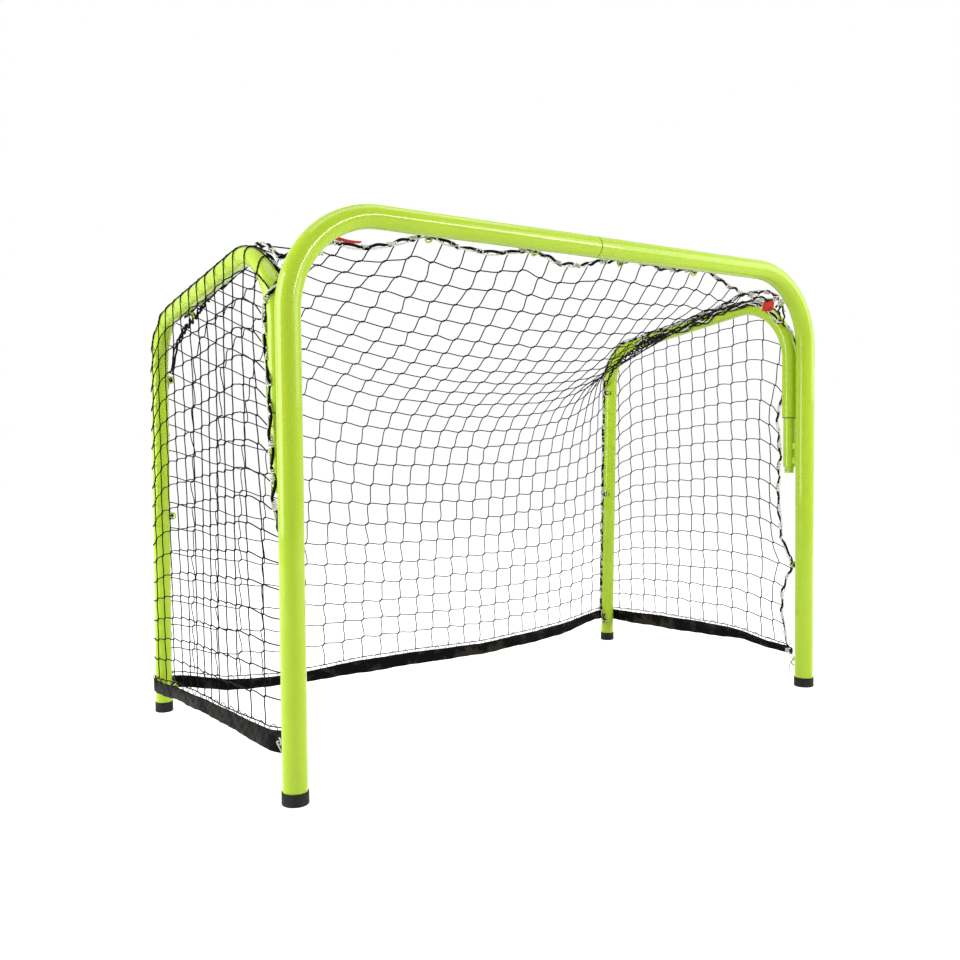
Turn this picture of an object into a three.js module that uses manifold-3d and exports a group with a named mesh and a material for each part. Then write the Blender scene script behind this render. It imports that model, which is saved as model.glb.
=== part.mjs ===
// A floorball goal: a front frame of two bent tube halves, two side frames that fold inwards on
// hinges behind the posts, and a knotted net with a hem band. Lengths are in millimetres. +X runs
// to the right of a player who looks into the mouth, +Y to the rear and +Z up.
import * as THREE from "three";
import { mergeVertices } from "three/addons/utils/BufferGeometryUtils.js";
import Module from "manifold-3d";

const wasm = await Module();
wasm.setup();

// Driving dimensions: the mouth, the two tube sizes and the depth of the side frames.
const mouth = { width: 1200, height: 900 };
const post = { diameter: 40, wall: 1.5, bendRadius: 160, bendSteps: 10, sides: 24 };
const side = {
  diameter: 33,
  wall: 1.5,
  behindPost: 42,
  frontHeight: 888,
  rearHeight: 802,
  topLength: 596,
  footLength: 616,
  uprightFoot: 40,
  frontBend: 132,
  rearBend: 103,
  bendSteps: 7,
  sides: 20,
  boreSides: 16,
};

// Clearances: between pieces that touch, in the turning fit, and the overrun of a cut.
const gap = 0.3;
const runningGap = 0.3;
const overrun = 1;

// The hinge: a socket welded behind the post, and a pivot tube held in the short leg by a bush.
const hinge = {
  socketTop: 605,
  socketLength: 110,
  socketWall: 2.7,
  pivotDiameter: 21,
  pivotWall: 2,
  pivotBelow: 14,
  pivotAbove: 52,
  bushLength: 44,
  bushGap: 0.4,
  washer: 1.5,
  tabHeight: 14,
  tabWidth: 10,
  tabRises: [14, 47],
  tabSink: 1.2,
  pinDiameter: 4,
  pinLength: 26,
  pinRise: 6.5,
  sides: 24,
};

const cap = { wall: 1.2, floor: 3, height: 21, edge: 2.4, lip: 0.6, sides: 20, edgeSteps: 2 };
const sleeve = { length: 160, wall: 2, gap: 0.4, sides: 24 };
const seam = 0.4;

// Net eyes: open rings of wire that the net is tied to.
const eye = { wire: 3.2, ring: 12.4, openAngle: 70, seat: 0.5, steps: 9, sides: 6 };
const postEyeHeights = [48, 272];
const crossbarEyePlaces = [-355, -130, 80, 283];
const crossbarEyeAngle = 50;
const cornerEyeAngle = 40;
const sideEyeAngle = 40;
const rearEyeHeights = [50, 410, 690];
const topEyeAhead = 118;

// The net. A drawn cell stands for two by two knotted ones, and the strands are drawn as square bars.
const net = {
  cellWidth: 90,
  strand: 3,
  thickness: 2.4,
  selvedge: 6,
  reach: 8,
  leastCellShare: 0.12,
  seatAngle: 30,
  startAngle: 42,
  barAngle: 20,
  seatGap: 0.7,
  turnAngle: 12,
};
// The slack of the roof and back net at mid width, as the two pulls of one smooth curve.
const slack = { roofPull: [337, 510], backPull: [554, 839], foot: 592, edgeExponent: 2.5, barExponent: 6 };

const hem = { height: 37, thickness: 2.4, frontRise: 70, rearRise: 25, middleRise: 12, steps: 16 };
const grommet = { outer: 14, bore: 7, thickness: 1.2, inset: 12, sides: 16 };
const tag = { length: 30, width: 40, thickness: 1.4, inset: 6, stand: 2 };
const tie = { diameter: 2.6, sides: 8, inset: 6 };

// Derived places
const postRadius = post.diameter / 2;
const sideRadius = side.diameter / 2;
const postX = mouth.width / 2 + postRadius;
const barZ = mouth.height + postRadius;
const tubeFoot = cap.floor + gap;
const legFoot = hinge.socketTop + gap + hinge.washer + gap;
const netPlane = sideRadius + gap;

const finishes = {
  frame: { color: 0xb4dc28, roughness: 0.28, metalness: 0.1 },
  steel: { color: 0x8f9498, roughness: 0.35, metalness: 0.9 },
  rubber: { color: 0x1b1b1c, roughness: 0.75, metalness: 0 },
  nylon: { color: 0x2a2a2c, roughness: 0.5, metalness: 0 },
  twine: { color: 0x141416, roughness: 0.85, metalness: 0 },
  band: { color: 0x3c3c40, roughness: 0.7, metalness: 0 },
  tag: { color: 0xe63c34, roughness: 0.7, metalness: 0 },
  cord: { color: 0xe8e6da, roughness: 0.8, metalness: 0 },
};

function namedMesh(name, geometry, finish) {
  const material = new THREE.MeshStandardMaterial(finishes[finish]);
  const mesh = new THREE.Mesh(geometry, material);
  mesh.name = name;
  return mesh;
}

function degrees(angle) {
  return THREE.MathUtils.degToRad(angle);
}

// A closed geometry as a solid for cutting and joining.
function solidOf(geometry) {
  const bare = geometry.clone();
  bare.deleteAttribute("normal");
  bare.deleteAttribute("uv");
  const merged = mergeVertices(bare);
  const vertProperties = new Float32Array(merged.attributes.position.array);
  const triVerts = new Uint32Array(merged.index.array);
  return new wasm.Manifold(new wasm.Mesh({ numProp: 3, vertProperties, triVerts }));
}

function geometryOf(solid) {
  const mesh = solid.getMesh();
  const indexed = new THREE.BufferGeometry();
  indexed.setAttribute("position", new THREE.BufferAttribute(mesh.vertProperties, mesh.numProp));
  indexed.setIndex(new THREE.BufferAttribute(mesh.triVerts, 1));
  const flat = indexed.toNonIndexed();
  flat.computeVertexNormals();
  return flat;
}

// A path that visits given stations, one for each step, so that straight runs take a single step.
class StationCurve extends THREE.Curve {
  constructor(stations) {
    super();
    this.stations = stations;
  }

  getPoint(share, target = new THREE.Vector3()) {
    const last = this.stations.length - 1;
    const index = Math.min(Math.floor(share * last), last - 1);
    return target.lerpVectors(this.stations[index], this.stations[index + 1], share * last - index);
  }

  getTangent(share, target = new THREE.Vector3()) {
    const last = this.stations.length - 1;
    const index = Math.round(share * last);
    const here = this.stations[index];
    const arriving = here.clone().sub(this.stations[Math.max(index - 1, 0)]).normalize();
    const leaving = this.stations[Math.min(index + 1, last)].clone().sub(here).normalize();
    return target.addVectors(arriving, leaving).normalize();
  }

  getUtoTmapping(share) {
    return share;
  }
}

function circlePoints(radius, sides) {
  return Array.from({ length: sides }, (_, i) => {
    const angle = (i / sides) * 2 * Math.PI;
    return new THREE.Vector2(radius * Math.cos(angle), radius * Math.sin(angle));
  });
}

function tubeAlong(stations, radius, sides, boreRadius = 0, boreSides = sides) {
  const section = new THREE.Shape(circlePoints(radius, sides));
  if (boreRadius > 0) section.holes.push(new THREE.Path(circlePoints(boreRadius, boreSides)));
  return new THREE.ExtrudeGeometry(section, {
    steps: stations.length - 1,
    extrudePath: new StationCurve(stations),
    bevelEnabled: false,
  });
}

// A profile of [radius, height] pairs turned round the Z axis.
function revolve(profile, sides) {
  const points = profile.map(([radius, height]) => new THREE.Vector2(radius, height));
  return new THREE.LatheGeometry(points, sides).rotateX(Math.PI / 2);
}

function ring(innerRadius, outerRadius, low, high, sides) {
  const profile = [
    [innerRadius, low],
    [outerRadius, low],
    [outerRadius, high],
    [innerRadius, high],
    [innerRadius, low],
  ];
  return revolve(profile, sides);
}

// The stations of a bent tube's centre line in its own plane: straight runs between the corners,
// and an arc of the given radius at each inner corner, or a plain mitre where the radius is zero.
function bentLine(corners, radii, steps) {
  const stations = [corners[0].clone()];
  radii.forEach((radius, i) => {
    const [before, corner, after] = corners.slice(i, i + 3);
    if (radius === 0) {
      stations.push(corner.clone());
      return;
    }
    const arriving = corner.clone().sub(before).normalize();
    const leaving = after.clone().sub(corner).normalize();
    const turn = Math.sign(arriving.cross(leaving)) * Math.acos(arriving.dot(leaving));
    const reach = radius * Math.tan(Math.abs(turn) / 2);
    const start = corner.clone().addScaledVector(arriving, -reach);
    const toCentre = new THREE.Vector2(-arriving.y, arriving.x).multiplyScalar(Math.sign(turn));
    const centre = start.clone().addScaledVector(toCentre, radius);
    for (let step = 0; step <= steps; step++) {
      stations.push(start.clone().rotateAround(centre, (turn * step) / steps));
    }
  });
  stations.push(corners.at(-1).clone());
  return stations;
}

// The place, direction and outward direction at a distance along a centre line.
function placeOn(stations, distance) {
  let left = distance;
  let index = 0;
  while (index < stations.length - 2 && left > stations[index].distanceTo(stations[index + 1])) {
    left -= stations[index].distanceTo(stations[index + 1]);
    index += 1;
  }
  const along = stations[index + 1].clone().sub(stations[index]).normalize();
  const point = stations[index].clone().addScaledVector(along, left);
  return { point, along, outward: new THREE.Vector2(-along.y, along.x) };
}

function lengthOf(stations) {
  return stations.slice(1).reduce((sum, here, i) => sum + here.distanceTo(stations[i]), 0);
}

// Front frame
const frontCorners = [
  new THREE.Vector2(postX, tubeFoot),
  new THREE.Vector2(postX, barZ),
  new THREE.Vector2(seam / 2, barZ),
];
const frontLine = bentLine(frontCorners, [post.bendRadius], post.bendSteps);

function frontHalf() {
  const stations = frontLine.map((p) => new THREE.Vector3(p.x, 0, p.y));
  return tubeAlong(stations, postRadius, post.sides, postRadius - post.wall);
}

function crossbarSleeve() {
  const radius = postRadius - post.wall - sleeve.gap;
  const tube = ring(radius - sleeve.wall, radius, -sleeve.length / 2, sleeve.length / 2, sleeve.sides);
  return tube.rotateY(Math.PI / 2).translate(0, 0, barZ);
}

function footCap(tubeRadius) {
  const bore = tubeRadius + gap;
  const outer = bore + cap.wall;
  const profile = [[0, 0]];
  for (let step = 0; step <= cap.edgeSteps; step++) {
    const angle = (step / cap.edgeSteps) * (Math.PI / 2);
    profile.push([outer - cap.edge + cap.edge * Math.sin(angle), cap.edge - cap.edge * Math.cos(angle)]);
  }
  profile.push([outer, cap.height - cap.lip]);
  profile.push([outer - cap.lip, cap.height]);
  profile.push([bore, cap.height]);
  profile.push([bore, cap.floor]);
  profile.push([0, cap.floor]);
  return revolve(profile, cap.sides);
}

// A net eye that stands on a tube: at is a point of the tube's surface, outward leaves the tube and
// along lies in the ring's plane. The ring is open on the tube's side.
function netEye(name, at, outward, along) {
  const radius = eye.ring / 2;
  const half = degrees(180 - eye.openAngle / 2);
  const reach = eye.seat + Math.cos(degrees(eye.openAngle / 2)) * (radius + eye.wire / 2);
  const centre = at.clone().addScaledVector(outward, reach);
  const stations = Array.from({ length: eye.steps + 1 }, (_, i) => {
    const angle = half * ((2 * i) / eye.steps - 1);
    return centre
      .clone()
      .addScaledVector(outward, radius * Math.cos(angle))
      .addScaledVector(along, radius * Math.sin(angle));
  });
  return namedMesh(name, tubeAlong(stations, eye.wire / 2, eye.sides), "frame");
}

// Hinge
const pivotRadius = hinge.pivotDiameter / 2;
const socketBore = pivotRadius + runningGap;
const socketRadius = socketBore + hinge.socketWall;
const socketFoot = hinge.socketTop - hinge.socketLength;

// The socket tube with its two weld tabs, cut to the post's round side. Its axis is at the origin.
function hingeSocket() {
  const reach = side.behindPost - postRadius - socketRadius + hinge.tabSink;
  const toPost = side.behindPost - postRadius;
  let weldment = solidOf(ring(socketBore, socketRadius, socketFoot, hinge.socketTop, hinge.sides));
  for (const rise of hinge.tabRises) {
    const tab = new THREE.BoxGeometry(hinge.tabWidth, reach + overrun, hinge.tabHeight);
    tab.translate(0, (reach + overrun) / 2 - toPost - overrun, socketFoot + rise);
    weldment = weldment.add(solidOf(tab));
  }
  const aroundPost = revolve(
    [
      [0, socketFoot - overrun],
      [postRadius + gap, socketFoot - overrun],
      [postRadius + gap, hinge.socketTop + overrun],
      [0, hinge.socketTop + overrun],
    ],
    post.sides,
  );
  aroundPost.translate(0, -side.behindPost, 0);
  return geometryOf(weldment.subtract(solidOf(aroundPost)));
}

function pinRod(radius, length) {
  const rod = new THREE.CylinderGeometry(radius, radius, length, hinge.sides / 2);
  return rod.rotateZ(Math.PI / 2).translate(0, 0, socketFoot - hinge.pinRise);
}

function pivotTube() {
  const foot = socketFoot - hinge.pivotBelow;
  const top = legFoot + hinge.pivotAbove;
  const tube = solidOf(ring(pivotRadius - hinge.pivotWall, pivotRadius, foot, top, hinge.sides));
  const hole = pinRod(hinge.pinDiameter / 2 + gap, hinge.pivotDiameter + 2 * overrun);
  return geometryOf(tube.subtract(solidOf(hole)));
}

// Side frame, in the plane of its tubes. The first coordinate is measured from the hinge axis.
const legTop = new THREE.Vector2(0, side.frontHeight);
const rearTop = new THREE.Vector2(side.topLength, side.rearHeight);
const rearBase = new THREE.Vector2(side.footLength, side.uprightFoot);
const rearFoot = new THREE.Vector2(side.footLength, tubeFoot);
const sideCorners = [new THREE.Vector2(0, legFoot), legTop, rearTop, rearBase, rearFoot];
const sideLine = bentLine(sideCorners, [side.frontBend, side.rearBend, 0], side.bendSteps);
const sideLength = lengthOf(sideLine);

function sideFrame() {
  const stations = sideLine.map((p) => new THREE.Vector3(0, p.x, p.y));
  return tubeAlong(stations, sideRadius, side.sides, sideRadius - side.wall, side.boreSides);
}

// A distance along the side frame's centre line at which its rear leg is at a height.
function rearDistance(height) {
  const leg = rearTop.clone().sub(rearBase);
  return sideLength - rearBase.distanceTo(rearFoot) - ((height - rearBase.y) * leg.length()) / leg.y;
}

// A net eye on the side frame's inner side, turned towards the inside of the frame's own loop.
function sideEye(name, distance) {
  const { point, along, outward } = placeOn(sideLine, distance);
  const turn = degrees(sideEyeAngle);
  const away = new THREE.Vector3(
    -Math.cos(turn),
    -Math.sin(turn) * outward.x,
    -Math.sin(turn) * outward.y,
  );
  const at = new THREE.Vector3(0, point.x, point.y).addScaledVector(away, sideRadius);
  return netEye(name, at, away, new THREE.Vector3(0, along.x, along.y));
}

function hemRise(distance) {
  return THREE.MathUtils.lerp(hem.frontRise, hem.rearRise, distance / side.footLength);
}

// The side net's outline: a line outside the side frame's tubes, moved by reach, and closed along
// the hem, moved up by lift.
function netOutline(reach, lift) {
  const front = -reach;
  const edge = sideLine.slice(1).map((station, i) => {
    const before = placeOn([sideLine[i], station], 0).outward;
    const after = i + 2 < sideLine.length ? placeOn([station, sideLine[i + 2]], 0).outward : before;
    return station.clone().addScaledVector(before.clone().add(after).normalize(), reach);
  });
  edge.splice(-2);
  const rear = new THREE.Vector2(side.footLength + reach, hemRise(side.footLength) + hem.height + lift);
  const foot = new THREE.Vector2(front, hemRise(front) + hem.height + lift);
  return [rear, ...edge.reverse(), foot];
}

// The flat net panel: a plate in the shape of the outline. Each square cell is cut out of it, kept
// inside the selvedge, and a cell of which too little is left stays closed.
function sideNet() {
  const plate = flatPlate(netOutline(net.reach, gap), net.thickness);
  const depth = net.thickness + 2 * overrun;
  const inside = flatPlate(netOutline(net.reach - net.selvedge, gap + net.selvedge), depth);
  const window = solidOf(inside.translate(0, 0, -overrun));
  const hole = net.cellWidth - net.strand;
  const least = net.leastCellShare * hole * hole * depth;
  const columns = Math.ceil(side.footLength / net.cellWidth) + 1;
  const rows = Math.ceil(side.frontHeight / net.cellWidth) + 1;
  let holes = null;
  for (let column = 0; column < columns; column++) {
    for (let row = 0; row < rows; row++) {
      const cell = new THREE.BoxGeometry(hole, hole, depth + 2 * overrun);
      cell.translate(column * net.cellWidth, (row + 1) * net.cellWidth, net.thickness / 2);
      const open = solidOf(cell).intersect(window);
      if (open.volume() > least) holes = holes ? holes.add(open) : open;
    }
  }
  return standUp(geometryOf(solidOf(plate).subtract(holes)));
}

function flatPlate(outline, depth) {
  return new THREE.ExtrudeGeometry(new THREE.Shape(outline), { depth, bevelEnabled: false });
}

// Turns a plate drawn flat so that its first axis runs to the rear, its second up and its thickness
// outwards from the tubes.
function standUp(plate) {
  const basis = new THREE.Matrix4().makeBasis(
    new THREE.Vector3(0, 1, 0),
    new THREE.Vector3(0, 0, 1),
    new THREE.Vector3(1, 0, 0),
  );
  return plate.applyMatrix4(basis).translate(netPlane, 0, 0);
}

function sideHem() {
  const front = -net.reach;
  const rear = side.footLength + net.reach;
  const outline = [
    new THREE.Vector2(front, hemRise(front)),
    new THREE.Vector2(rear, hemRise(rear)),
    new THREE.Vector2(rear, hemRise(rear) + hem.height),
    new THREE.Vector2(front, hemRise(front) + hem.height),
  ];
  return standUp(flatPlate(outline, hem.thickness));
}

function hemGrommet() {
  const metal = ring(grommet.bore / 2, grommet.outer / 2, 0, grommet.thickness, grommet.sides);
  const ahead = grommet.inset - net.reach;
  metal.rotateY(Math.PI / 2);
  return metal.translate(netPlane + hem.thickness + gap, ahead, hemRise(ahead) + hem.height / 2);
}

// Roof and back net: one sheet. Its side edges lie on the inner side of the side frames, from the
// front bend to the foot of the rear leg, and its middle hangs on a smooth curve from the crossbar.
const seatRadius = sideRadius + net.seatGap + net.thickness / 2;
const netStart = sideLine[1].distanceTo(sideLine[0]) + degrees(net.startAngle) * side.frontBend;
const netEnd = rearDistance(hem.rearRise + hem.height);

function edgeAt(share) {
  const { point, outward } = placeOn(sideLine, THREE.MathUtils.lerp(netStart, netEnd, share));
  const turn = degrees(net.seatAngle);
  return new THREE.Vector3(
    postX - seatRadius * Math.cos(turn),
    side.behindPost + point.x + seatRadius * Math.sin(turn) * outward.x,
    point.y + seatRadius * Math.sin(turn) * outward.y,
  );
}

const barSeat = postRadius + gap + net.thickness / 2;
const middleCurve = new THREE.CubicBezierCurve(
  new THREE.Vector2(
    barSeat * Math.cos(degrees(net.barAngle)),
    barZ - barSeat * Math.sin(degrees(net.barAngle)),
  ),
  new THREE.Vector2(...slack.roofPull),
  new THREE.Vector2(...slack.backPull),
  new THREE.Vector2(slack.foot, hem.middleRise + hem.height),
);

// A point of the sheet: across runs from the left edge to the right one, down from the crossbar to
// the hem. The flatness of the hanging shape grows from the crossbar to the body of the net.
function sheetPoint(across, down) {
  const edge = edgeAt(down);
  const middle = middleCurve.getPointAt(down);
  const ahead = Math.min(down / net.leastCellShare, 1);
  const flatness = THREE.MathUtils.lerp(slack.barExponent, slack.edgeExponent, ahead);
  const sideways = 2 * across - 1;
  const fall = 1 - Math.abs(sideways) ** flatness;
  return new THREE.Vector3(
    edge.x * sideways,
    THREE.MathUtils.lerp(edge.y, middle.x, fall),
    THREE.MathUtils.lerp(edge.z, middle.y, fall),
  );
}

function hemPoint(across, down) {
  const top = sheetPoint(across, 1);
  return new THREE.Vector3(top.x, top.y, top.z - gap - down * hem.height);
}

// A surface's unit normal, from two short steps on it, facing up and to the rear.
const stepShare = 1 / 1024;

function normalOf(surface, across, down) {
  const [left, right] = [Math.max(across - stepShare, 0), Math.min(across + stepShare, 1)];
  const [low, high] = [Math.max(down - stepShare, 0), Math.min(down + stepShare, 1)];
  const sideways = surface(right, down).sub(surface(left, down));
  const downwards = surface(across, high).sub(surface(across, low));
  return downwards.cross(sideways).normalize();
}

// A plate of even thickness on a surface, with vertices at the crossings of two lists of shares.
// isOpen tells which of its fields are left out as holes.
function surfacePlate(surface, acrossShares, downShares, thickness, isOpen, lift = 0) {
  const [columns, rows] = [acrossShares.length, downShares.length];
  const positions = [];
  for (const level of [lift + thickness / 2, lift - thickness / 2]) {
    for (const down of downShares) {
      for (const across of acrossShares) {
        const normal = normalOf(surface, across, down);
        positions.push(...surface(across, down).addScaledVector(normal, level).toArray());
      }
    }
  }
  const layer = columns * rows;
  const filled = (i, j) => i >= 0 && j >= 0 && i < columns - 1 && j < rows - 1 && !isOpen(i, j);
  const faces = [];
  const wall = (a, b) => faces.push(a, b, b + layer, a, b + layer, a + layer);
  for (let j = 0; j < rows - 1; j++) {
    for (let i = 0; i < columns - 1; i++) {
      if (!filled(i, j)) continue;
      const a = j * columns + i;
      const [b, c, d] = [a + 1, a + 1 + columns, a + columns];
      faces.push(a, c, b, a, d, c);
      faces.push(a + layer, b + layer, c + layer, a + layer, c + layer, d + layer);
      if (!filled(i, j - 1)) wall(a, b);
      if (!filled(i + 1, j)) wall(b, c);
      if (!filled(i, j + 1)) wall(c, d);
      if (!filled(i - 1, j)) wall(d, a);
    }
  }
  const geometry = new THREE.BufferGeometry();
  geometry.setAttribute("position", new THREE.Float32BufferAttribute(positions, 3));
  geometry.setIndex(faces);
  const flat = geometry.toNonIndexed();
  flat.computeVertexNormals();
  return flat;
}

// The two edges of each strand, as shares of a width: the outer strands are selvedges.
function strandShares(cells, width) {
  const half = net.strand / 2 / width;
  const selvedge = net.selvedge / width;
  const shares = [0, selvedge];
  for (let cell = 1; cell < cells; cell++) shares.push(cell / cells - half, cell / cells + half);
  return [...shares, 1 - selvedge, 1];
}

// Lines across the sheet, each with whether the field that follows it is open. Where the side frame
// bends, a field is crossed by more lines, so that the strands follow the bend.
function linesDown(shares) {
  return shares.flatMap((share, i) => {
    if (i % 2 === 0) return [{ share, open: false }];
    const [here, next] = [share, shares[i + 1] ?? share].map((down) => {
      return placeOn(sideLine, THREE.MathUtils.lerp(netStart, netEnd, down)).along;
    });
    const turn = Math.acos(Math.min(here.dot(next), 1));
    const steps = i < shares.length - 1 ? Math.max(Math.ceil(turn / degrees(net.turnAngle)), 1) : 1;
    return Array.from({ length: steps }, (_, k) => {
      return { share: THREE.MathUtils.lerp(share, shares[i + 1] ?? share, k / steps), open: true };
    });
  });
}

function roofAndBackNet() {
  const width = 2 * edgeAt(0).x;
  const length = middleCurve.getLength();
  const acrossShares = strandShares(Math.round(width / net.cellWidth), width);
  const rows = linesDown(strandShares(Math.round(length / net.cellWidth), length));
  const downShares = rows.map((row) => row.share);
  const isCell = (i, j) => i % 2 === 1 && rows[j].open;
  return surfacePlate(sheetPoint, acrossShares, downShares, net.thickness, isCell);
}

function backHem() {
  const shares = Array.from({ length: hem.steps + 1 }, (_, i) => i / hem.steps);
  return surfacePlate(hemPoint, shares, [0, 1], hem.thickness, () => false);
}

// A fabric tag sewn on the net's front corner. It lies flat on the front selvedge, beside the corner.
function cornerTag() {
  const width = 2 * edgeAt(0).x;
  const shares = strandShares(Math.round(width / net.cellWidth), width);
  const [inner, outer] = shares.slice(-3, -1);
  const band = net.selvedge / middleCurve.getLength();
  const flat = (across, down) => {
    const near = sheetPoint(inner, 0).lerp(sheetPoint(outer, 0), across);
    const far = sheetPoint(inner, band).lerp(sheetPoint(outer, band), across);
    return near.lerp(far, down / band);
  };
  const cell = width * (outer - inner);
  const from = 1 - (tag.inset + tag.width) / cell;
  const depth = tag.length / middleCurve.getLength();
  const lift = net.thickness / 2 + tag.stand + tag.thickness / 2;
  const across = [from, 1 - tag.inset / cell];
  return surfacePlate(flat, across, [0, depth], tag.thickness, () => false, lift);
}

// The short cord that ties the hem's front end to the lower eye of its post.
function hemTie() {
  const radius = tie.diameter / 2;
  const eyeTop = postEyeHeights[0] + eye.ring / 2 + eye.wire / 2;
  const eyeReach = postRadius + eye.seat + eye.ring / 2;
  const ahead = tie.inset - net.reach;
  const stations = [
    new THREE.Vector3(postX, eyeReach, eyeTop + gap + radius),
    new THREE.Vector3(postX + netPlane - gap - radius, side.behindPost + ahead, hemRise(ahead) + hem.height / 2),
  ];
  return tubeAlong(stations, radius, tie.sides);
}

// Assembly: what is on one side of the goal is modelled on the right and mirrored for the left.
const goal = new THREE.Group();
const inwardBack = new THREE.Vector3(
  -Math.cos(degrees(cornerEyeAngle)) * Math.SQRT1_2,
  Math.sin(degrees(cornerEyeAngle)),
  -Math.cos(degrees(cornerEyeAngle)) * Math.SQRT1_2,
);
const rearwards = new THREE.Vector3(0, 1, 0);
const upwards = new THREE.Vector3(0, 0, 1);

for (const hand of ["left", "right"]) {
  const half = new THREE.Group();
  half.scale.x = hand === "left" ? -1 : 1;
  goal.add(half);

  half.add(namedMesh(`front_frame_${hand}_half`, frontHalf(), "frame"));
  const postCap = namedMesh(`post_foot_cap_${hand}`, footCap(postRadius), "rubber");
  postCap.position.set(postX, 0, 0);
  half.add(postCap);
  postEyeHeights.forEach((height, i) => {
    const at = new THREE.Vector3(postX, postRadius, height);
    half.add(netEye(`${["lower", "upper"][i]}_post_eye_${hand}`, at, rearwards, upwards));
  });
  const bend = frontLine[1 + post.bendSteps / 2];
  const cornerAt = new THREE.Vector3(bend.x, 0, bend.y).addScaledVector(inwardBack, postRadius);
  const alongBend = new THREE.Vector3(-Math.SQRT1_2, 0, Math.SQRT1_2);
  half.add(netEye(`corner_eye_${hand}`, cornerAt, inwardBack, alongBend));
  half.add(namedMesh(`corner_tag_${hand}`, cornerTag(), "tag"));
  half.add(namedMesh(`hem_tie_${hand}`, hemTie(), "cord"));

  const hingeAxis = new THREE.Group();
  hingeAxis.position.set(postX, side.behindPost, 0);
  half.add(hingeAxis);
  hingeAxis.add(namedMesh(`hinge_socket_${hand}`, hingeSocket(), "frame"));
  hingeAxis.add(namedMesh(`pivot_tube_${hand}`, pivotTube(), "frame"));
  const pin = pinRod(hinge.pinDiameter / 2, hinge.pinLength);
  hingeAxis.add(namedMesh(`retaining_pin_${hand}`, pin, "steel"));
  const bushBore = pivotRadius + gap;
  const bushRadius = sideRadius - side.wall - hinge.bushGap;
  const bush = ring(bushBore, bushRadius, legFoot, legFoot + hinge.bushLength, hinge.sides);
  hingeAxis.add(namedMesh(`leg_bush_${hand}`, bush, "nylon"));
  const washerFoot = hinge.socketTop + gap;
  const washer = ring(bushBore, sideRadius, washerFoot, washerFoot + hinge.washer, hinge.sides);
  hingeAxis.add(namedMesh(`hinge_washer_${hand}`, washer, "nylon"));
  hingeAxis.add(namedMesh(`side_frame_${hand}`, sideFrame(), "frame"));
  const rearCap = namedMesh(`rear_foot_cap_${hand}`, footCap(sideRadius), "rubber");
  rearCap.position.set(0, side.footLength, 0);
  hingeAxis.add(rearCap);
  rearEyeHeights.forEach((height, i) => {
    const level = ["lower", "middle", "upper"][i];
    hingeAxis.add(sideEye(`${level}_rear_eye_${hand}`, rearDistance(height)));
  });
  const topEyePlace = rearDistance(side.rearHeight) - topEyeAhead;
  hingeAxis.add(sideEye(`top_rail_eye_${hand}`, topEyePlace));
  hingeAxis.add(namedMesh(`side_net_${hand}`, sideNet(), "twine"));
  hingeAxis.add(namedMesh(`side_hem_${hand}`, sideHem(), "band"));
  hingeAxis.add(namedMesh(`hem_grommet_${hand}`, hemGrommet(), "steel"));
}

goal.add(namedMesh("crossbar_sleeve", crossbarSleeve(), "steel"));
crossbarEyePlaces.forEach((place, i) => {
  const drop = degrees(crossbarEyeAngle);
  const outward = new THREE.Vector3(0, Math.cos(drop), -Math.sin(drop));
  const at = new THREE.Vector3(place, 0, barZ).addScaledVector(outward, postRadius);
  goal.add(netEye(`crossbar_eye_${i + 1}`, at, outward, new THREE.Vector3(1, 0, 0)));
});
goal.add(namedMesh("roof_and_back_net", roofAndBackNet(), "twine"));
goal.add(namedMesh("back_hem", backHem(), "band"));

// The origin is the middle of the goal's footprint, on the floor.
goal.updateMatrixWorld(true);
const bounds = new THREE.Box3().setFromObject(goal);
goal.position.y = -(bounds.min.y + bounds.max.y) / 2;
goal.updateMatrixWorld(true);

export default goal;
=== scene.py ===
"""A folding floorball goal, finished: glossy lime tubes, knotted black netting, a hem band and lacing.

The goal stands in its own frame: +X to the right of a player who looks into the mouth, +Y to the
rear, +Z up, in metres. Tubes, cords and cloth are numpy grids: a circle or a profile carried along a
path. The netting is one sheet for the roof and the back and a flat panel on each side.
"""

from __future__ import annotations

import logging
import math
from collections.abc import Callable, Iterable, Sequence
from dataclasses import dataclass
from enum import Enum

import bpy
import numpy as np
from mathutils import Matrix, Vector

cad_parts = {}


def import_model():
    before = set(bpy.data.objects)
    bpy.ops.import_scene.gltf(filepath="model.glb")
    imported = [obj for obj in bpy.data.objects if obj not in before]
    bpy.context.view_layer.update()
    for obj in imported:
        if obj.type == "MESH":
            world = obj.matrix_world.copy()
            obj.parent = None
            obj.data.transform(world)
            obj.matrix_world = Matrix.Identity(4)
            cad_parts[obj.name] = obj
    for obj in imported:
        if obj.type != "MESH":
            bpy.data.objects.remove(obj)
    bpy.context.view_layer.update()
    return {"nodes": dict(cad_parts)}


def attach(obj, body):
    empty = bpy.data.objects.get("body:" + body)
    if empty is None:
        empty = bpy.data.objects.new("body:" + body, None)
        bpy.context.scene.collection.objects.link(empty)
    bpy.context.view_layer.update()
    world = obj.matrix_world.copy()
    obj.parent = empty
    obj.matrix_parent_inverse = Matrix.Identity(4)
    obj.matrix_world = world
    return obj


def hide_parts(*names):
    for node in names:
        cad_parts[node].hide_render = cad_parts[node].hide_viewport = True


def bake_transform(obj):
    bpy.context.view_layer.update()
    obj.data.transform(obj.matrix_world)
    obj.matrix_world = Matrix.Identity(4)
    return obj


Array = np.ndarray
Colour = tuple[float, float, float, float]
Spot = Sequence[float]
Pair = tuple[float, float]
Point = tuple[float, float, float]
Piece = bpy.types.Object
LOG = logging.getLogger("goal")
FULL_TURN = 2.0 * math.pi
ROOT = "front_frame"
UPRIGHT = (0.0, 0.0, 1.0)
WHITE: Colour = (1.0, 1.0, 1.0, 1.0)


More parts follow.
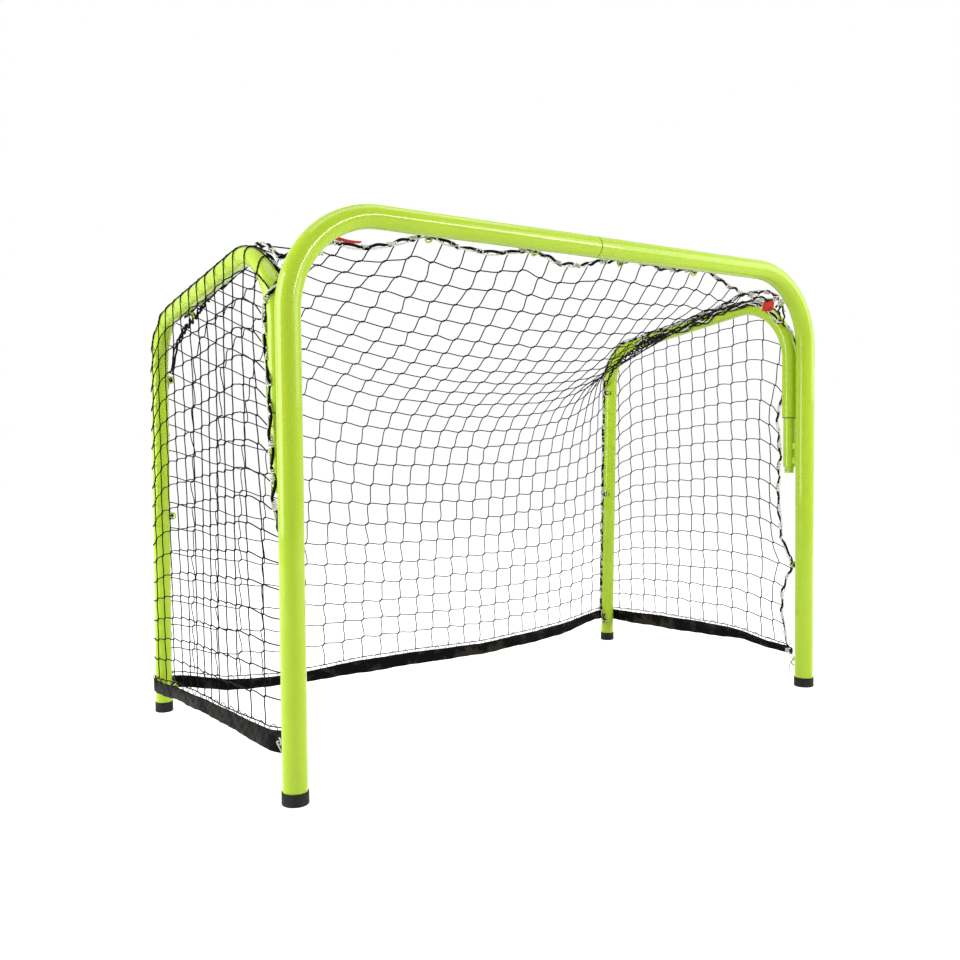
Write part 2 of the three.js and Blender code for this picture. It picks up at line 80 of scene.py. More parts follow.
class Hand(Enum):
    """The side of the goal, as the sign of its X."""

    LEFT = -1
    RIGHT = 1

    @property
    def word(self) -> str:
        """The hand's name in the node names."""
        return self.name.lower()

    @property
    def body(self) -> str:
        """The body that the hand's side frame belongs to."""
        return f"{self.word}_side"


# Shader building


def _sign(operation: str, reflected: bool = False) -> Callable[[Wire, Wire | float], Wire]:
    """Makes the method behind an arithmetic sign, which adds a Math node.

    Args:
        operation: The node's operation.
        reflected: Whether the other value stands on the left of the sign.

    Returns:
        The method.
    """

    def apply(one: Wire, other: Wire | float) -> Wire:
        """The result of the sign on two values."""
        return one.maths(operation, *((other, one) if reflected else (one, other)))

    return apply


class Wire:
    """A value in a material: a node's output socket that takes Python's arithmetic signs."""

    __add__, __radd__ = _sign("ADD"), _sign("ADD", True)
    __sub__, __rsub__ = _sign("SUBTRACT"), _sign("SUBTRACT", True)
    __mul__, __rmul__ = _sign("MULTIPLY"), _sign("MULTIPLY", True)

    def __init__(self, sheet: MaterialSheet, socket: bpy.types.NodeSocket) -> None:
        """Wraps an output socket of a sheet."""
        self.sheet, self.socket = sheet, socket

    def maths(self, operation: str, *values: Wire | float) -> Wire:
        """The result of a Math node with an operation and its inputs in order."""
        return self.sheet.node("ShaderNodeMath", dict(enumerate(values)), operation=operation)

    def wave(self) -> Wire:
        """The sine."""
        return self.maths("SINE", self)

    def size(self) -> Wire:
        """The absolute value."""
        return self.maths("ABSOLUTE", self)

    def at_least(self, other: Wire | float) -> Wire:
        """The larger of two values."""
        return self.maths("MAXIMUM", self, other)


class MaterialSheet:
    """The node tree of a material or of the world, built by one method for all nodes."""

    def __init__(self, name: str, world: bool = False) -> None:
        """Makes an empty tree.

        Args:
            name: The name of the material or the world.
            world: Whether it is a world.
        """
        self.owner = (bpy.data.worlds if world else bpy.data.materials).new(name)
        self.owner.use_nodes = True
        self.tree = self.owner.node_tree
        self.tree.nodes.clear()

    def node(
        self,
        kind: str,
        inputs: dict[str | int, object] | None = None,
        output: str | int = 0,
        **settings: object,
    ) -> Wire:
        """Adds a node: its settings are set first, then its sockets' values and links.

        Args:
            kind: The node's type.
            inputs: Values or links by socket name or index.
            output: The output to hand back.
            settings: The node's properties.

        Returns:
            The chosen output, or an empty one where the node has none.
        """
        made = self.tree.nodes.new(kind)
        for name, value in settings.items():
            setattr(made, name, value)
        for name, value in (inputs or {}).items():
            if isinstance(value, Wire):
                self.tree.links.new(value.socket, made.inputs[name])
            else:
                made.inputs[name].default_value = value
        return Wire(self, made.outputs[output] if made.outputs else None)

    def beside(self, wire: Wire, output: str) -> Wire:
        """Another output of the node that a wire leaves."""
        return Wire(self, wire.socket.node.outputs[output])

    def place(self) -> Wire:
        """Object coordinates."""
        return self.node("ShaderNodeTexCoord", output="Object")

    def strand(self) -> tuple[Wire, Wire]:
        """The length along a strand or band in metres, and the share of the way round it.

        Returns:
            The two values.
        """
        chart = self.node("ShaderNodeUVMap", uv_map="lay")
        along = self.node("ShaderNodeSeparateXYZ", {"Vector": chart}, "X")
        return along, self.beside(along, "Y")

    def noise(self, where: Wire, scale: float, detail: float = 3.0) -> Wire:
        """Soft noise from 0 to 1, of a frequency and a number of octaves."""
        return self.node("ShaderNodeTexNoise", {"Vector": where, "Scale": scale, "Detail": detail}, "Fac")

    def span(self, value: Wire, low: float, high: float, to_low: float = 0.0, to_high: float = 1.0) -> Wire:
        """Carries the values from low to high to another span, and holds the rest at its ends."""
        inputs = dict(enumerate((value, low, high, to_low, to_high)))
        return self.node("ShaderNodeMapRange", inputs, clamp=True)

    def blend(self, share: Wire | float, one: Wire | Colour, other: Wire | Colour) -> Wire:
        """A mix of two colours, by the share of the second."""
        return self.node("ShaderNodeMix", {0: share, 6: one, 7: other}, 2, data_type="RGBA")

    def bump(self, height: Wire, distance: float, strength: float = 1.0, **under: Wire) -> Wire:
        """The normal of a height from 0 to 1, whose 1 is a distance in metres, over a Normal under it."""
        inputs = {"Height": height, "Distance": distance, "Strength": strength, **under}
        return self.node("ShaderNodeBump", inputs)

    def seen(self) -> Wire:
        """One for what the camera sees straight, in reflections and through glass, else zero.

        Returns:
            The value.
        """
        path = self.node("ShaderNodeLightPath", output="Is Camera Ray")
        reflected, through = (self.beside(path, f"Is {kind} Ray") for kind in ("Glossy", "Transmission"))
        return path.at_least(reflected).at_least(through)

    def finish(self, **sockets: object) -> bpy.types.Material:
        """Adds the surface shader and the output.

        Args:
            sockets: The shader's values and links, with spaces in names written as underscores.

        Returns:
            The finished material.
        """
        inputs = {name.replace("_", " "): value for name, value in sockets.items()}
        surface = self.node("ShaderNodeBsdfPrincipled", inputs)
        self.node("ShaderNodeOutputMaterial", {"Surface": surface})
        return self.owner


# Finishes


@dataclass(frozen=True)
class PowderCoat:
    """Glossy lime powder coat with a faint orange peel and a few dull scuffs."""

    colour: Colour = (0.455, 0.655, 0.014, 1.0)
    shade: Colour = (0.425, 0.625, 0.012, 1.0)
    scuff: Colour = (0.55, 0.66, 0.22, 1.0)
    peel: float = 0.00003

    def make(self) -> bpy.types.Material:
        """Builds the material.

        Returns:
            The material.
        """
        sheet = MaterialSheet("lime_powder_coat")
        where = sheet.place()
        body = sheet.blend(sheet.span(sheet.noise(where, 9.0), 0.35, 0.65), self.colour, self.shade)
        speck = sheet.span(sheet.noise(where, 110.0), 0.66, 0.76, 0.0, 0.3)
        worn = speck * sheet.span(sheet.noise(where, 14.0, 2.0), 0.56, 0.74, 0.0, 0.5)
        rough = sheet.span(sheet.noise(where, 35.0, 4.0), 0.3, 0.7, 0.22, 0.32) + 0.25 * worn
        return sheet.finish(
            Base_Color=sheet.blend(worn, body, self.scuff),
            Roughness=rough,
            Normal=sheet.bump(sheet.noise(where, 260.0, 1.0), self.peel, 0.4),
            Coat_Weight=0.6,
            Coat_Roughness=0.06,
            Specular_IOR_Level=0.12,
        )


@dataclass(frozen=True)
class MouldedRubber:
    """Matt black moulded rubber, greyed a little with floor dust."""

    colour: Colour = (0.004, 0.004, 0.004, 1.0)
    dust: Colour = (0.014, 0.013, 0.012, 1.0)

    def make(self) -> bpy.types.Material:
        """Builds the material.

        Returns:
            The material.
        """
        sheet = MaterialSheet("moulded_rubber")
        where = sheet.place()
        dust = sheet.span(sheet.noise(where, 60.0, 4.0), 0.45, 0.7, 0.0, 0.7)
        return sheet.finish(
            Base_Color=sheet.blend(dust, self.colour, self.dust),
            Roughness=sheet.span(sheet.noise(where, 90.0), 0.3, 0.7, 0.5, 0.72),
            Normal=sheet.bump(sheet.noise(where, 900.0, 2.0), 0.00008, 0.6),
            Specular_IOR_Level=0.22,
        )


@dataclass(frozen=True)
class TwistedCord:
    """A cord or twine of plies laid together: slanting ridges round it, and loose fibre. Its colour is
    painted darker in the grooves between plies and lighter on their crests, as shade and highlight.
    """

    name: str
    colour: Colour
    light: Colour
    pitch: float
    sheen: float = 0.25
    plies: int = 3
    relief: float = 0.0003
    rough: float = 0.85

    def make(self) -> bpy.types.Material:
        """Builds the material. The ridges are |sin| of plies half turns plus the length over the pitch, and
        they also paint the colour: shade in the grooves, highlight on the crests.

        Returns:
            The material.
        """
        sheet = MaterialSheet(self.name)
        along, around = sheet.strand()
        ridge = ((around * self.plies + along * (1.0 / self.pitch)) * math.pi).wave().size()
        fibre = sheet.noise(sheet.place(), 1500.0, 2.0)
        drift = sheet.span(sheet.noise(sheet.place(), 26.0), 0.35, 0.65, 0.0, 0.5)
        # Painted shade and highlight: the grooves between plies take the darker colour and the crests the
        # lighter one; fibre and drift add random tone.
        relief_shade_and_tone = sheet.span(ridge * 0.7 + fibre * 0.5, 0.35, 1.1) * (1.0 - drift)
        return sheet.finish(
            Base_Color=sheet.blend(relief_shade_and_tone, self.colour, self.light),
            Roughness=self.rough,
            Normal=sheet.bump(ridge + fibre * 0.25, self.relief),
            Sheen_Weight=self.sheen,
            Specular_IOR_Level=0.08,
        )


@dataclass(frozen=True)
class BandCloth:
    """Coated woven cloth: fine plain weave, a soft shine and creases that wander along the band. Its colour
    is painted lighter on the crease crests and darker in their hollows, inside random patches.
    """

    name: str
    colour: Colour
    light: Colour
    thread: float = 0.00055
    crease: float = 0.0009
    rough: Pair = (0.42, 0.62)

    def make(self) -> bpy.types.Material:
        """Builds the material. The weave is sin times sin of the two thread counts.

        Returns:
            The material.
        """
        sheet = MaterialSheet(self.name)
        along, across = sheet.strand()
        beat = FULL_TURN / (2.0 * self.thread)
        weave = (along * beat).wave() * (across * beat).wave()
        chart = sheet.node("ShaderNodeCombineXYZ", {"X": along, "Y": across})
        folds = sheet.node("ShaderNodeMapping", {"Vector": chart, "Scale": (26.0, 22.0, 1.0)})
        crumple = sheet.noise(folds, 1.0, 5.0)
        worn = sheet.span(sheet.noise(chart, 21.0, 4.0), 0.47, 0.55)
        # Partly painted light: the lighter colour follows the crease height, so crests are painted lit and
        # hollows painted shaded, only inside the random worn patches; the weave adds a faint pattern.
        relief_shade_and_tone = sheet.span(crumple, 0.46, 0.53, 0.0, 0.8) * worn + weave * 0.05
        fine = sheet.bump(weave, 0.00008, 0.5)
        return sheet.finish(
            Base_Color=sheet.blend(relief_shade_and_tone.at_least(0.0), self.colour, self.light),
            Roughness=sheet.span(crumple, 0.35, 0.65, *self.rough),
            Normal=sheet.bump(crumple, self.crease, 0.8, Normal=fine),
            Sheen_Weight=0.005,
            Sheen_Roughness=0.4,
            Specular_IOR_Level=0.03,
        )


@dataclass(frozen=True)
class PlatedSteel:
    """Zinc plated steel with a cloudy grain."""

    colour: Colour = (0.50, 0.51, 0.53, 1.0)
    shade: Colour = (0.33, 0.34, 0.37, 1.0)

    def make(self) -> bpy.types.Material:
        """Builds the material.

        Returns:
            The material.
        """
        sheet = MaterialSheet("plated_steel")
        where = sheet.place()
        cloud = sheet.span(sheet.noise(where, 120.0, 4.0), 0.35, 0.65)
        rough = sheet.span(sheet.noise(where, 210.0), 0.3, 0.7, 0.26, 0.42)
        return sheet.finish(
            Base_Color=sheet.blend(cloud, self.colour, self.shade), Roughness=rough, Metallic=1.0
        )


@dataclass(frozen=True)
class MouldedNylon:
    """Green moulded nylon with a fine spark grain."""

    colour: Colour = (0.16, 0.23, 0.03, 1.0)
    light: Colour = (0.20, 0.28, 0.045, 1.0)

    def make(self) -> bpy.types.Material:
        """Builds the material.

        Returns:
            The material.
        """
        sheet = MaterialSheet("moulded_nylon")
        where = sheet.place()
        grain = sheet.noise(where, 700.0, 2.0)
        return sheet.finish(
            Base_Color=sheet.blend(sheet.span(grain, 0.4, 0.7), self.colour, self.light),
            Roughness=sheet.span(sheet.noise(where, 80.0), 0.3, 0.7, 0.4, 0.55),
            Normal=sheet.bump(grain, 0.00005),
        )


@dataclass(frozen=True)
class Coat:
    """A finish as a piece wears it.

    The slot is the name that the frame knows the finish by; nothing in this script reads it. An edge is
    sharp from the given angle in degrees.
    """

    material: bpy.types.Material
    slot: str
    sharp: float = 60.0


class Finishes:
    """The goal's finishes, made once."""

    def __init__(self) -> None:
        """Builds every finish."""
        black = (0.002, 0.002, 0.0025, 1.0)
        # For each cord and cloth the second colour is the lighter one, painted on ridge and crease crests as
        # highlight; the first lies in grooves and hollows as painted shade.
        twine = TwistedCord("netting_twine", black, (0.009, 0.009, 0.010, 1.0), 0.0045, 0.04)
        selvedge = TwistedCord("selvedge_cord", black, (0.010, 0.010, 0.011, 1.0), 0.008, 0.04)
        lacing = TwistedCord("lacing_cord", (0.68, 0.67, 0.63, 1.0), (0.92, 0.92, 0.89, 1.0), 0.006)
        band = BandCloth("band_cloth", (0.0028, 0.0028, 0.003, 1.0), (0.036, 0.031, 0.023, 1.0))
        tag = BandCloth("tag_cloth", (0.72, 0.035, 0.03, 1.0), (0.86, 0.10, 0.075, 1.0), crease=0.0003)
        self.paint = Coat(PowderCoat().make(), "frame_paint", 40.0)
        self.rubber = Coat(MouldedRubber().make(), "rubber_cap", 50.0)
        self.steel = Coat(PlatedSteel().make(), "grommet_metal", 40.0)
        self.nylon = Coat(MouldedNylon().make(), "nylon_bush")
        self.twine = Coat(twine.make(), "net_twine")
        self.selvedge = Coat(selvedge.make(), "net_twine")
        self.lacing = Coat(lacing.make(), "white_cord")
        self.band = Coat(band.make(), "hem_fabric", 70.0)
        self.stitching = Coat(self.selvedge.material, "hem_fabric")
        self.tag = Coat(tag.make(), "tag_fabric")


# Shared geometry


def unit(vectors: Array) -> Array:
    """The vectors at length one."""
    return vectors / np.maximum(np.linalg.norm(vectors, axis=-1, keepdims=True), 1e-12)


def together(*axes: Array | float) -> Array:
    """Points from one value or grid of values for each axis."""
    return np.stack(np.broadcast_arrays(*axes), axis=-1).astype(float)


def frames(centres: Array, reference: Array | Spot) -> tuple[Array, Array]:
    """Two cross directions for each station of a path.

    The first is the reference made square to the path, and the second is the path's direction
    crossed with the first.

    Args:
        centres: The stations, as (..., stations, 3).
        reference: A direction that is never along the path, for all stations or for each.

    Returns:
        The first and the second direction.
    """
    along = unit(np.gradient(centres, axis=-2))
    reference = np.broadcast_to(np.asarray(reference, float), centres.shape)
    first = unit(reference - np.sum(reference * along, axis=-1, keepdims=True) * along)
    return first, np.cross(along, first)


def run_length(centres: Array) -> Array:
    """The distance along a path at each of its stations."""
    steps = np.linalg.norm(np.diff(centres, axis=-2), axis=-1)
    return np.concatenate([np.zeros_like(steps[..., :1]), np.cumsum(steps, axis=-1)], axis=-1)


def read_at(places: Array, stations: Array, values: Array) -> Array:
    """Values of a path's stations, as (stations, axes), read at distances along it."""
    return together(*(np.interp(places, stations, axis) for axis in values.T))


def circle(radii: Array | float, sides: int) -> Array:
    """Sections that are circles: (cos, sin) of equal shares of a turn, times one radius or many."""
    turn = FULL_TURN * np.arange(sides) / sides
    return np.asarray(radii, float)[..., None, None] * together(np.cos(turn), np.sin(turn))


def smooth_through(points: Array | Sequence[Spot], steps: int = 10) -> Array:
    """A smooth path through points: each span is a cubic whose end slopes join the neighbours.

    Args:
        points: The points, as (points, 3).
        steps: The steps of each span.

    Returns:
        The path's stations.
    """
    points = np.asarray(points, float)
    ends = np.vstack([2 * points[0] - points[1], points, 2 * points[-1] - points[-2]])
    share = (np.arange(steps) / steps)[:, None]
    before, start, end, after = (ends[k : len(ends) - 3 + k, None] for k in range(4))
    slope, next_slope = (end - before) / 2.0, (after - start) / 2.0
    square, cube = share**2, share**3
    path = (
        (2 * cube - 3 * square + 1) * start
        + (cube - 2 * square + share) * slope
        + (3 * square - 2 * cube) * end
        + (cube - square) * next_slope
    )
    return np.vstack([path.reshape(-1, 3), points[-1]])


def even_stations(path: Array, spacing: float) -> Array:
    """A path's stations at even distances.

    Args:
        path: The path.
        spacing: The distance wanted between stations.

    Returns:
        The new stations.
    """
    reach = run_length(path)
    places = np.linspace(0.0, reach[-1], max(int(round(reach[-1] / spacing)), 2) + 1)
    return read_at(places, reach, path)


def nearest(path: Array, spot: Array) -> Array:
    """The station of a path that is nearest to a spot."""
    return path[int(np.argmin(np.linalg.norm(path - spot, axis=1)))]


def add_object(name: str, data: bpy.types.ID) -> Piece:
    """An object with the data, linked to the scene.

    Args:
        name: The object's name.
        data: Its data.

    Returns:
        The object.
    """
    made = bpy.data.objects.new(name, data)
    bpy.context.scene.collection.objects.link(made)
    return made


class Draft:
    """Points, faces and a chart, gathered from ring skins and made into one mesh."""

    def __init__(self) -> None:
        """Starts empty."""
        self.points: list[Array] = []
        self.corners: list[Array] = []
        self.sizes: list[Array] = []
        self.chart: list[Array] = []
        self.count = 0

    def rings(
        self,
        centres: Array,
        first: Array | Spot,
        second: Array | Spot,
        sections: Array,
        closed: bool = False,
        girth: float = 1.0,
    ) -> None:
        """Adds skins of rings: each point is the centre + a * first + b * second for a section's (a, b).

        A skin ends in a flat face at each end, or a closed one joins its last ring to its first. The
        chart runs along the path in metres and round it from 0 to the girth.

        Args:
            centres: The stations, as (stations, 3) or (skins, stations, 3).
            first: The first cross direction, for all stations or for each.
            second: The second cross direction.
            sections: The sections, as (..., points, 2).
            closed: Whether the last ring joins the first.
            girth: The chart's value all the way round.
        """
        centres = centres if centres.ndim == 3 else centres[None]
        first, second = (np.broadcast_to(way, centres.shape)[:, :, None] for way in (first, second))
        sides = sections.shape[-2]
        sections = np.broadcast_to(sections, (*centres.shape[:2], sides, 2))
        points = centres[:, :, None] + sections[..., :1] * first + sections[..., 1:] * second
        index = self.count + np.arange(points.size // 3).reshape(points.shape[:3])
        along, turn = run_length(centres), np.arange(sides) / sides * girth
        here, ahead = (index, np.roll(index, -1, 1)) if closed else (index[:, :-1], index[:, 1:])
        quads = np.stack([here, np.roll(here, -1, 2), np.roll(ahead, -1, 2), ahead], axis=-1)
        low, high = (np.roll(along, -step, 1)[:, : here.shape[1], None] for step in (0, 1))
        beyond = turn + girth / sides
        corners = ((low, turn), (low, beyond), (high, beyond), (high, turn))
        self._store(points, quads, np.stack([together(*corner) for corner in corners], axis=-2))
        if not closed:
            self._store(np.zeros((0, 3)), index[:, 0, ::-1], together(along[:, :1], turn))
            self._store(np.zeros((0, 3)), index[:, -1], together(along[:, -1:], turn))

    def _store(self, points: Array, faces: Array, chart: Array) -> None:
        """Keeps points, faces of one size and their corners' chart.

        Args:
            points: The points.
            faces: Numbers of the faces' corners.
            chart: The corners' places on the chart.
        """
        self.points.append(points.reshape(-1, 3))
        self.corners.append(faces.ravel())
        self.sizes.append(np.full(faces.size // faces.shape[-1], faces.shape[-1]))
        self.chart.append(chart.reshape(-1, 2))
        self.count += len(self.points[-1])

    def hollow(self, line: Array, first: Array, second: Array, radii: Array, bore: float) -> None:
        """Adds a hollow skin: out along a line at the outer radii, and back along it at the bore's.

        Args:
            line: The stations.
            first: The first cross direction at each.
            second: The second cross direction at each.
            radii: The outer radius at each.
            bore: The bore's radius.
        """
        pick = np.r_[0 : len(line), len(line) - 1 : -1 : -1]
        sections = circle(np.r_[radii, np.full(len(line), bore)], 64)
        self.rings(line[pick], first[pick], second[pick], sections, closed=True)

    def pipe(
        self, centres: Array, reference: Spot, outer: float, wall: float, chamfer: float = 0.0004
    ) -> None:
        """Adds a round pipe, open at both ends, with small chamfers.

        Args:
            centres: The centre line.
            reference: A direction that is never along it.
            outer: The outer radius.
            wall: The wall.
            chamfer: The chamfer of its outer edges.
        """
        first, second = frames(centres, reference)
        keep = np.r_[0, np.arange(len(centres)), len(centres) - 1]
        line, radii = centres[keep], np.full(len(keep), outer)
        line[1] += chamfer * unit(centres[1] - centres[0])
        line[-2] -= chamfer * unit(centres[-1] - centres[-2])
        radii[[0, -1]] -= chamfer
        self.hollow(line, first[keep], second[keep], radii, outer - wall)

    def cords(self, centres: Array, reference: Array | Spot, radius: float, sides: int = 6) -> None:
        """Adds round cords with slightly rounded ends.

        Args:
            centres: The centre lines, as (stations, 3) or (cords, stations, 3).
            reference: A direction that is never along them.
            radius: The cords' radius.
            sides: The sides of each.
        """
        radii = np.full(centres.shape[-2], radius)
        radii[[0, -1]] *= 0.6
        self.rings(centres, *frames(centres, reference), circle(radii, sides))

    def lathe(self, profile: Array, at: Spot) -> None:
        """Adds a turned shape: a profile of (radius, height) carried round an upright axis from its foot."""
        centres = np.asarray(at, float) + profile[:, 1:] * np.array(UPRIGHT)
        self.rings(centres, (1.0, 0.0, 0.0), (0.0, 1.0, 0.0), circle(profile[:, 0], 64))

    def finish(self, name: str, coat: Coat, body: str = "", node: str = "") -> Piece:
        """Args:
            name: The object's name.
            coat: Its finish.
            body: The one body that it rides on, if it does.
            node: The CAD piece that it takes the place of, if any.

        Returns:
            The object.
        """
        points, corners = np.vstack(self.points), np.concatenate(self.corners)
        sizes = np.concatenate(self.sizes)
        mesh = bpy.data.meshes.new(name)
        mesh.vertices.add(len(points))
        mesh.vertices.foreach_set("co", points.ravel())
        mesh.loops.add(len(corners))
        mesh.loops.foreach_set("vertex_index", corners)
        mesh.polygons.add(len(sizes))
        mesh.polygons.foreach_set("loop_start", np.cumsum(sizes) - sizes)
        mesh.polygons.foreach_set("use_smooth", np.ones(len(sizes), bool))
        mesh.update(calc_edges=True)
        mesh.uv_layers.new(name="lay").data.foreach_set("uv", np.vstack(self.chart).ravel())
        mesh.set_sharp_from_angle(angle=math.radians(coat.sharp))
        mesh.materials.append(coat.material)
        made = add_object(name, mesh)
        if body:
            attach(made, body)
        if node:
            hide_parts(node)
        LOG.info("%s: %d faces", name, len(sizes))
        return made


class BentLine:
    """A line of straight runs joined by arcs in one plane, read by the distance along it."""

    def __init__(self, corners: Sequence[Spot], radii: Spot, step: float = 1.5) -> None:
        """Lays out the stations.

        Args:
            corners: The line's corners.
            radii: The arc's radius at each inner corner.
            step: The step of an arc, in degrees.
        """
        spots = np.asarray(corners, float)
        arcs = (self._arc(spots[index : index + 3], radius, step) for index, radius in enumerate(radii))
        self.stations = np.vstack([spots[:1], *arcs, spots[-1:]])
        self.reach = run_length(self.stations)
        self.length = float(self.reach[-1])

    @staticmethod
    def _arc(spots: Array, radius: float, step: float) -> Array:
        """An arc that touches both runs at a corner.

        Args:
            spots: The corner between its two neighbours.
            radius: The arc's radius.
            step: The step in degrees.

        Returns:
            The arc's stations.
        """
        arriving, leaving = unit(spots[1] - spots[0]), unit(spots[2] - spots[1])
        side = np.sign(arriving[0] * leaving[1] - arriving[1] * leaving[0])
        turn = math.acos(float(np.clip(arriving @ leaving, -1.0, 1.0)))
        start = spots[1] - arriving * radius * math.tan(turn / 2.0)
        to_centre = np.array([-arriving[1], arriving[0]]) * side
        angle = np.linspace(0.0, turn, max(int(math.degrees(turn) / step), 2) + 1)[:, None]
        centre = start + to_centre * radius
        return centre + radius * (np.sin(angle) * arriving - np.cos(angle) * to_centre)

    def at(self, distance: Array | float) -> tuple[Array, Array, Array]:
        """The place, the direction and the outward direction, a quarter turn left of it.

        Args:
            distance: Distances along the line.

        Returns:
            The three, as (..., 2).
        """
        distance = np.asarray(distance, float)
        spot, ahead, behind = (
            read_at(distance + off, self.reach, self.stations) for off in (0.0, 0.0005, -0.0005)
        )
        along = unit(ahead - behind)
        return spot, along, together(-along[..., 1], along[..., 0])

    def outside(self, spots: Array) -> Array:
        """How far spots lie outside the line: the distance to it, negative inside its loop.

        Args:
            spots: Places in the line's plane, as (..., 2).

        Returns:
            The signed distances.
        """
        flat = spots.reshape(-1, 1, 2)
        start, span = self.stations[:-1], np.diff(self.stations, axis=0)
        share = np.sum((flat - start) * span, -1) / np.sum(span * span, -1)
        offset = flat - (start + np.clip(share, 0.0, 1.0)[..., None] * span)
        distance = np.linalg.norm(offset, axis=-1)
        chosen = np.argmin(distance, axis=1)
        rows = np.arange(len(flat))
        away, way = offset[rows, chosen], span[chosen]
        side = np.sign(way[:, 0] * away[:, 1] - way[:, 1] * away[:, 0])
        return (distance[rows, chosen] * side).reshape(spots.shape[:-1])


@dataclass(frozen=True)
class Layout:
    """Sizes that several pieces share. A side frame's corners are (distance behind the hinge, Z)."""

    post_x: float = 0.620
    bar_z: float = 0.920
    bar_bend: float = 0.160
    front_y: float = -0.32725
    hinge_y: float = -0.28525
    post_radius: float = 0.020
    side_radius: float = 0.0165
    wall: float = 0.0015
    tube_foot: float = 0.0033
    leg_foot: float = 0.6071
    hem_top: float = 0.062
    front_corner: Pair = (0.0, 0.888)
    rear_corner: Pair = (0.596, 0.802)
    leg_corner: Pair = (0.616, 0.040)
    side_bends: Point = (0.132, 0.103, 0.2)
    eye_reach: float = 0.0068
    post_eye_z: Pair = (0.048, 0.272)
    net_half: float = 0.6041
    hem_outside: float = 0.0187

    @property
    def rear_y(self) -> float:
        """The rear leg's Y at the floor."""
        return self.hinge_y + self.leg_corner[0]

    @property
    def front_line(self) -> BentLine:
        """A front half's centre line, as (X, Z): post, bend and half the crossbar."""
        corners = [(self.post_x, self.tube_foot), (self.post_x, self.bar_z), (0.0002, self.bar_z)]
        return BentLine(corners, [self.bar_bend])

    def side_line(self, start: float, end: float, step: float = 1.5) -> BentLine:
        """The line through a side frame's corners, from a height on its front leg to one on its rear leg."""
        inner = (self.front_corner, self.rear_corner, self.leg_corner)
        return BentLine([(0.0, start), *inner, (self.leg_corner[0], end)], self.side_bends, step)

    @property
    def tube_line(self) -> BentLine:
        """A side frame's centre line."""
        return self.side_line(self.leg_foot, self.tube_foot)

    def rear_distance(self, height: float) -> float:
        """The distance along a side frame's centre line at which the rear leg is at a height.

        Args:
            height: The height.

        Returns:
            The distance.
        """
        run, fall = np.subtract(self.leg_corner, self.rear_corner)
        above = height - self.leg_corner[1]
        foot = self.tube_line.length - (self.leg_corner[1] - self.tube_foot)
        return foot + above * math.hypot(run, fall) / fall

    def post_eye(self, hand: Hand, height: float, out: float) -> Array:
        """A point straight behind a post, so far outside its surface."""
        return np.array([hand.value * self.post_x, self.front_y + self.post_radius + out, height])


@dataclass
class Assembly:
    """A sub-assembly, with the sizes and finishes that it shares with the others."""

    layout: Layout
    finishes: Finishes


@dataclass
class SidePart(Assembly):
    """A sub-assembly of one side of the goal."""

    hand: Hand

    @property
    def word(self) -> str:
        """The side's name in the node names."""
        return self.hand.word

    @property
    def sign(self) -> int:
        """The sign of the side's X."""
        return self.hand.value

    @property
    def body(self) -> str:
        """The body of the side's frame."""
        return self.hand.body


# Frame pieces


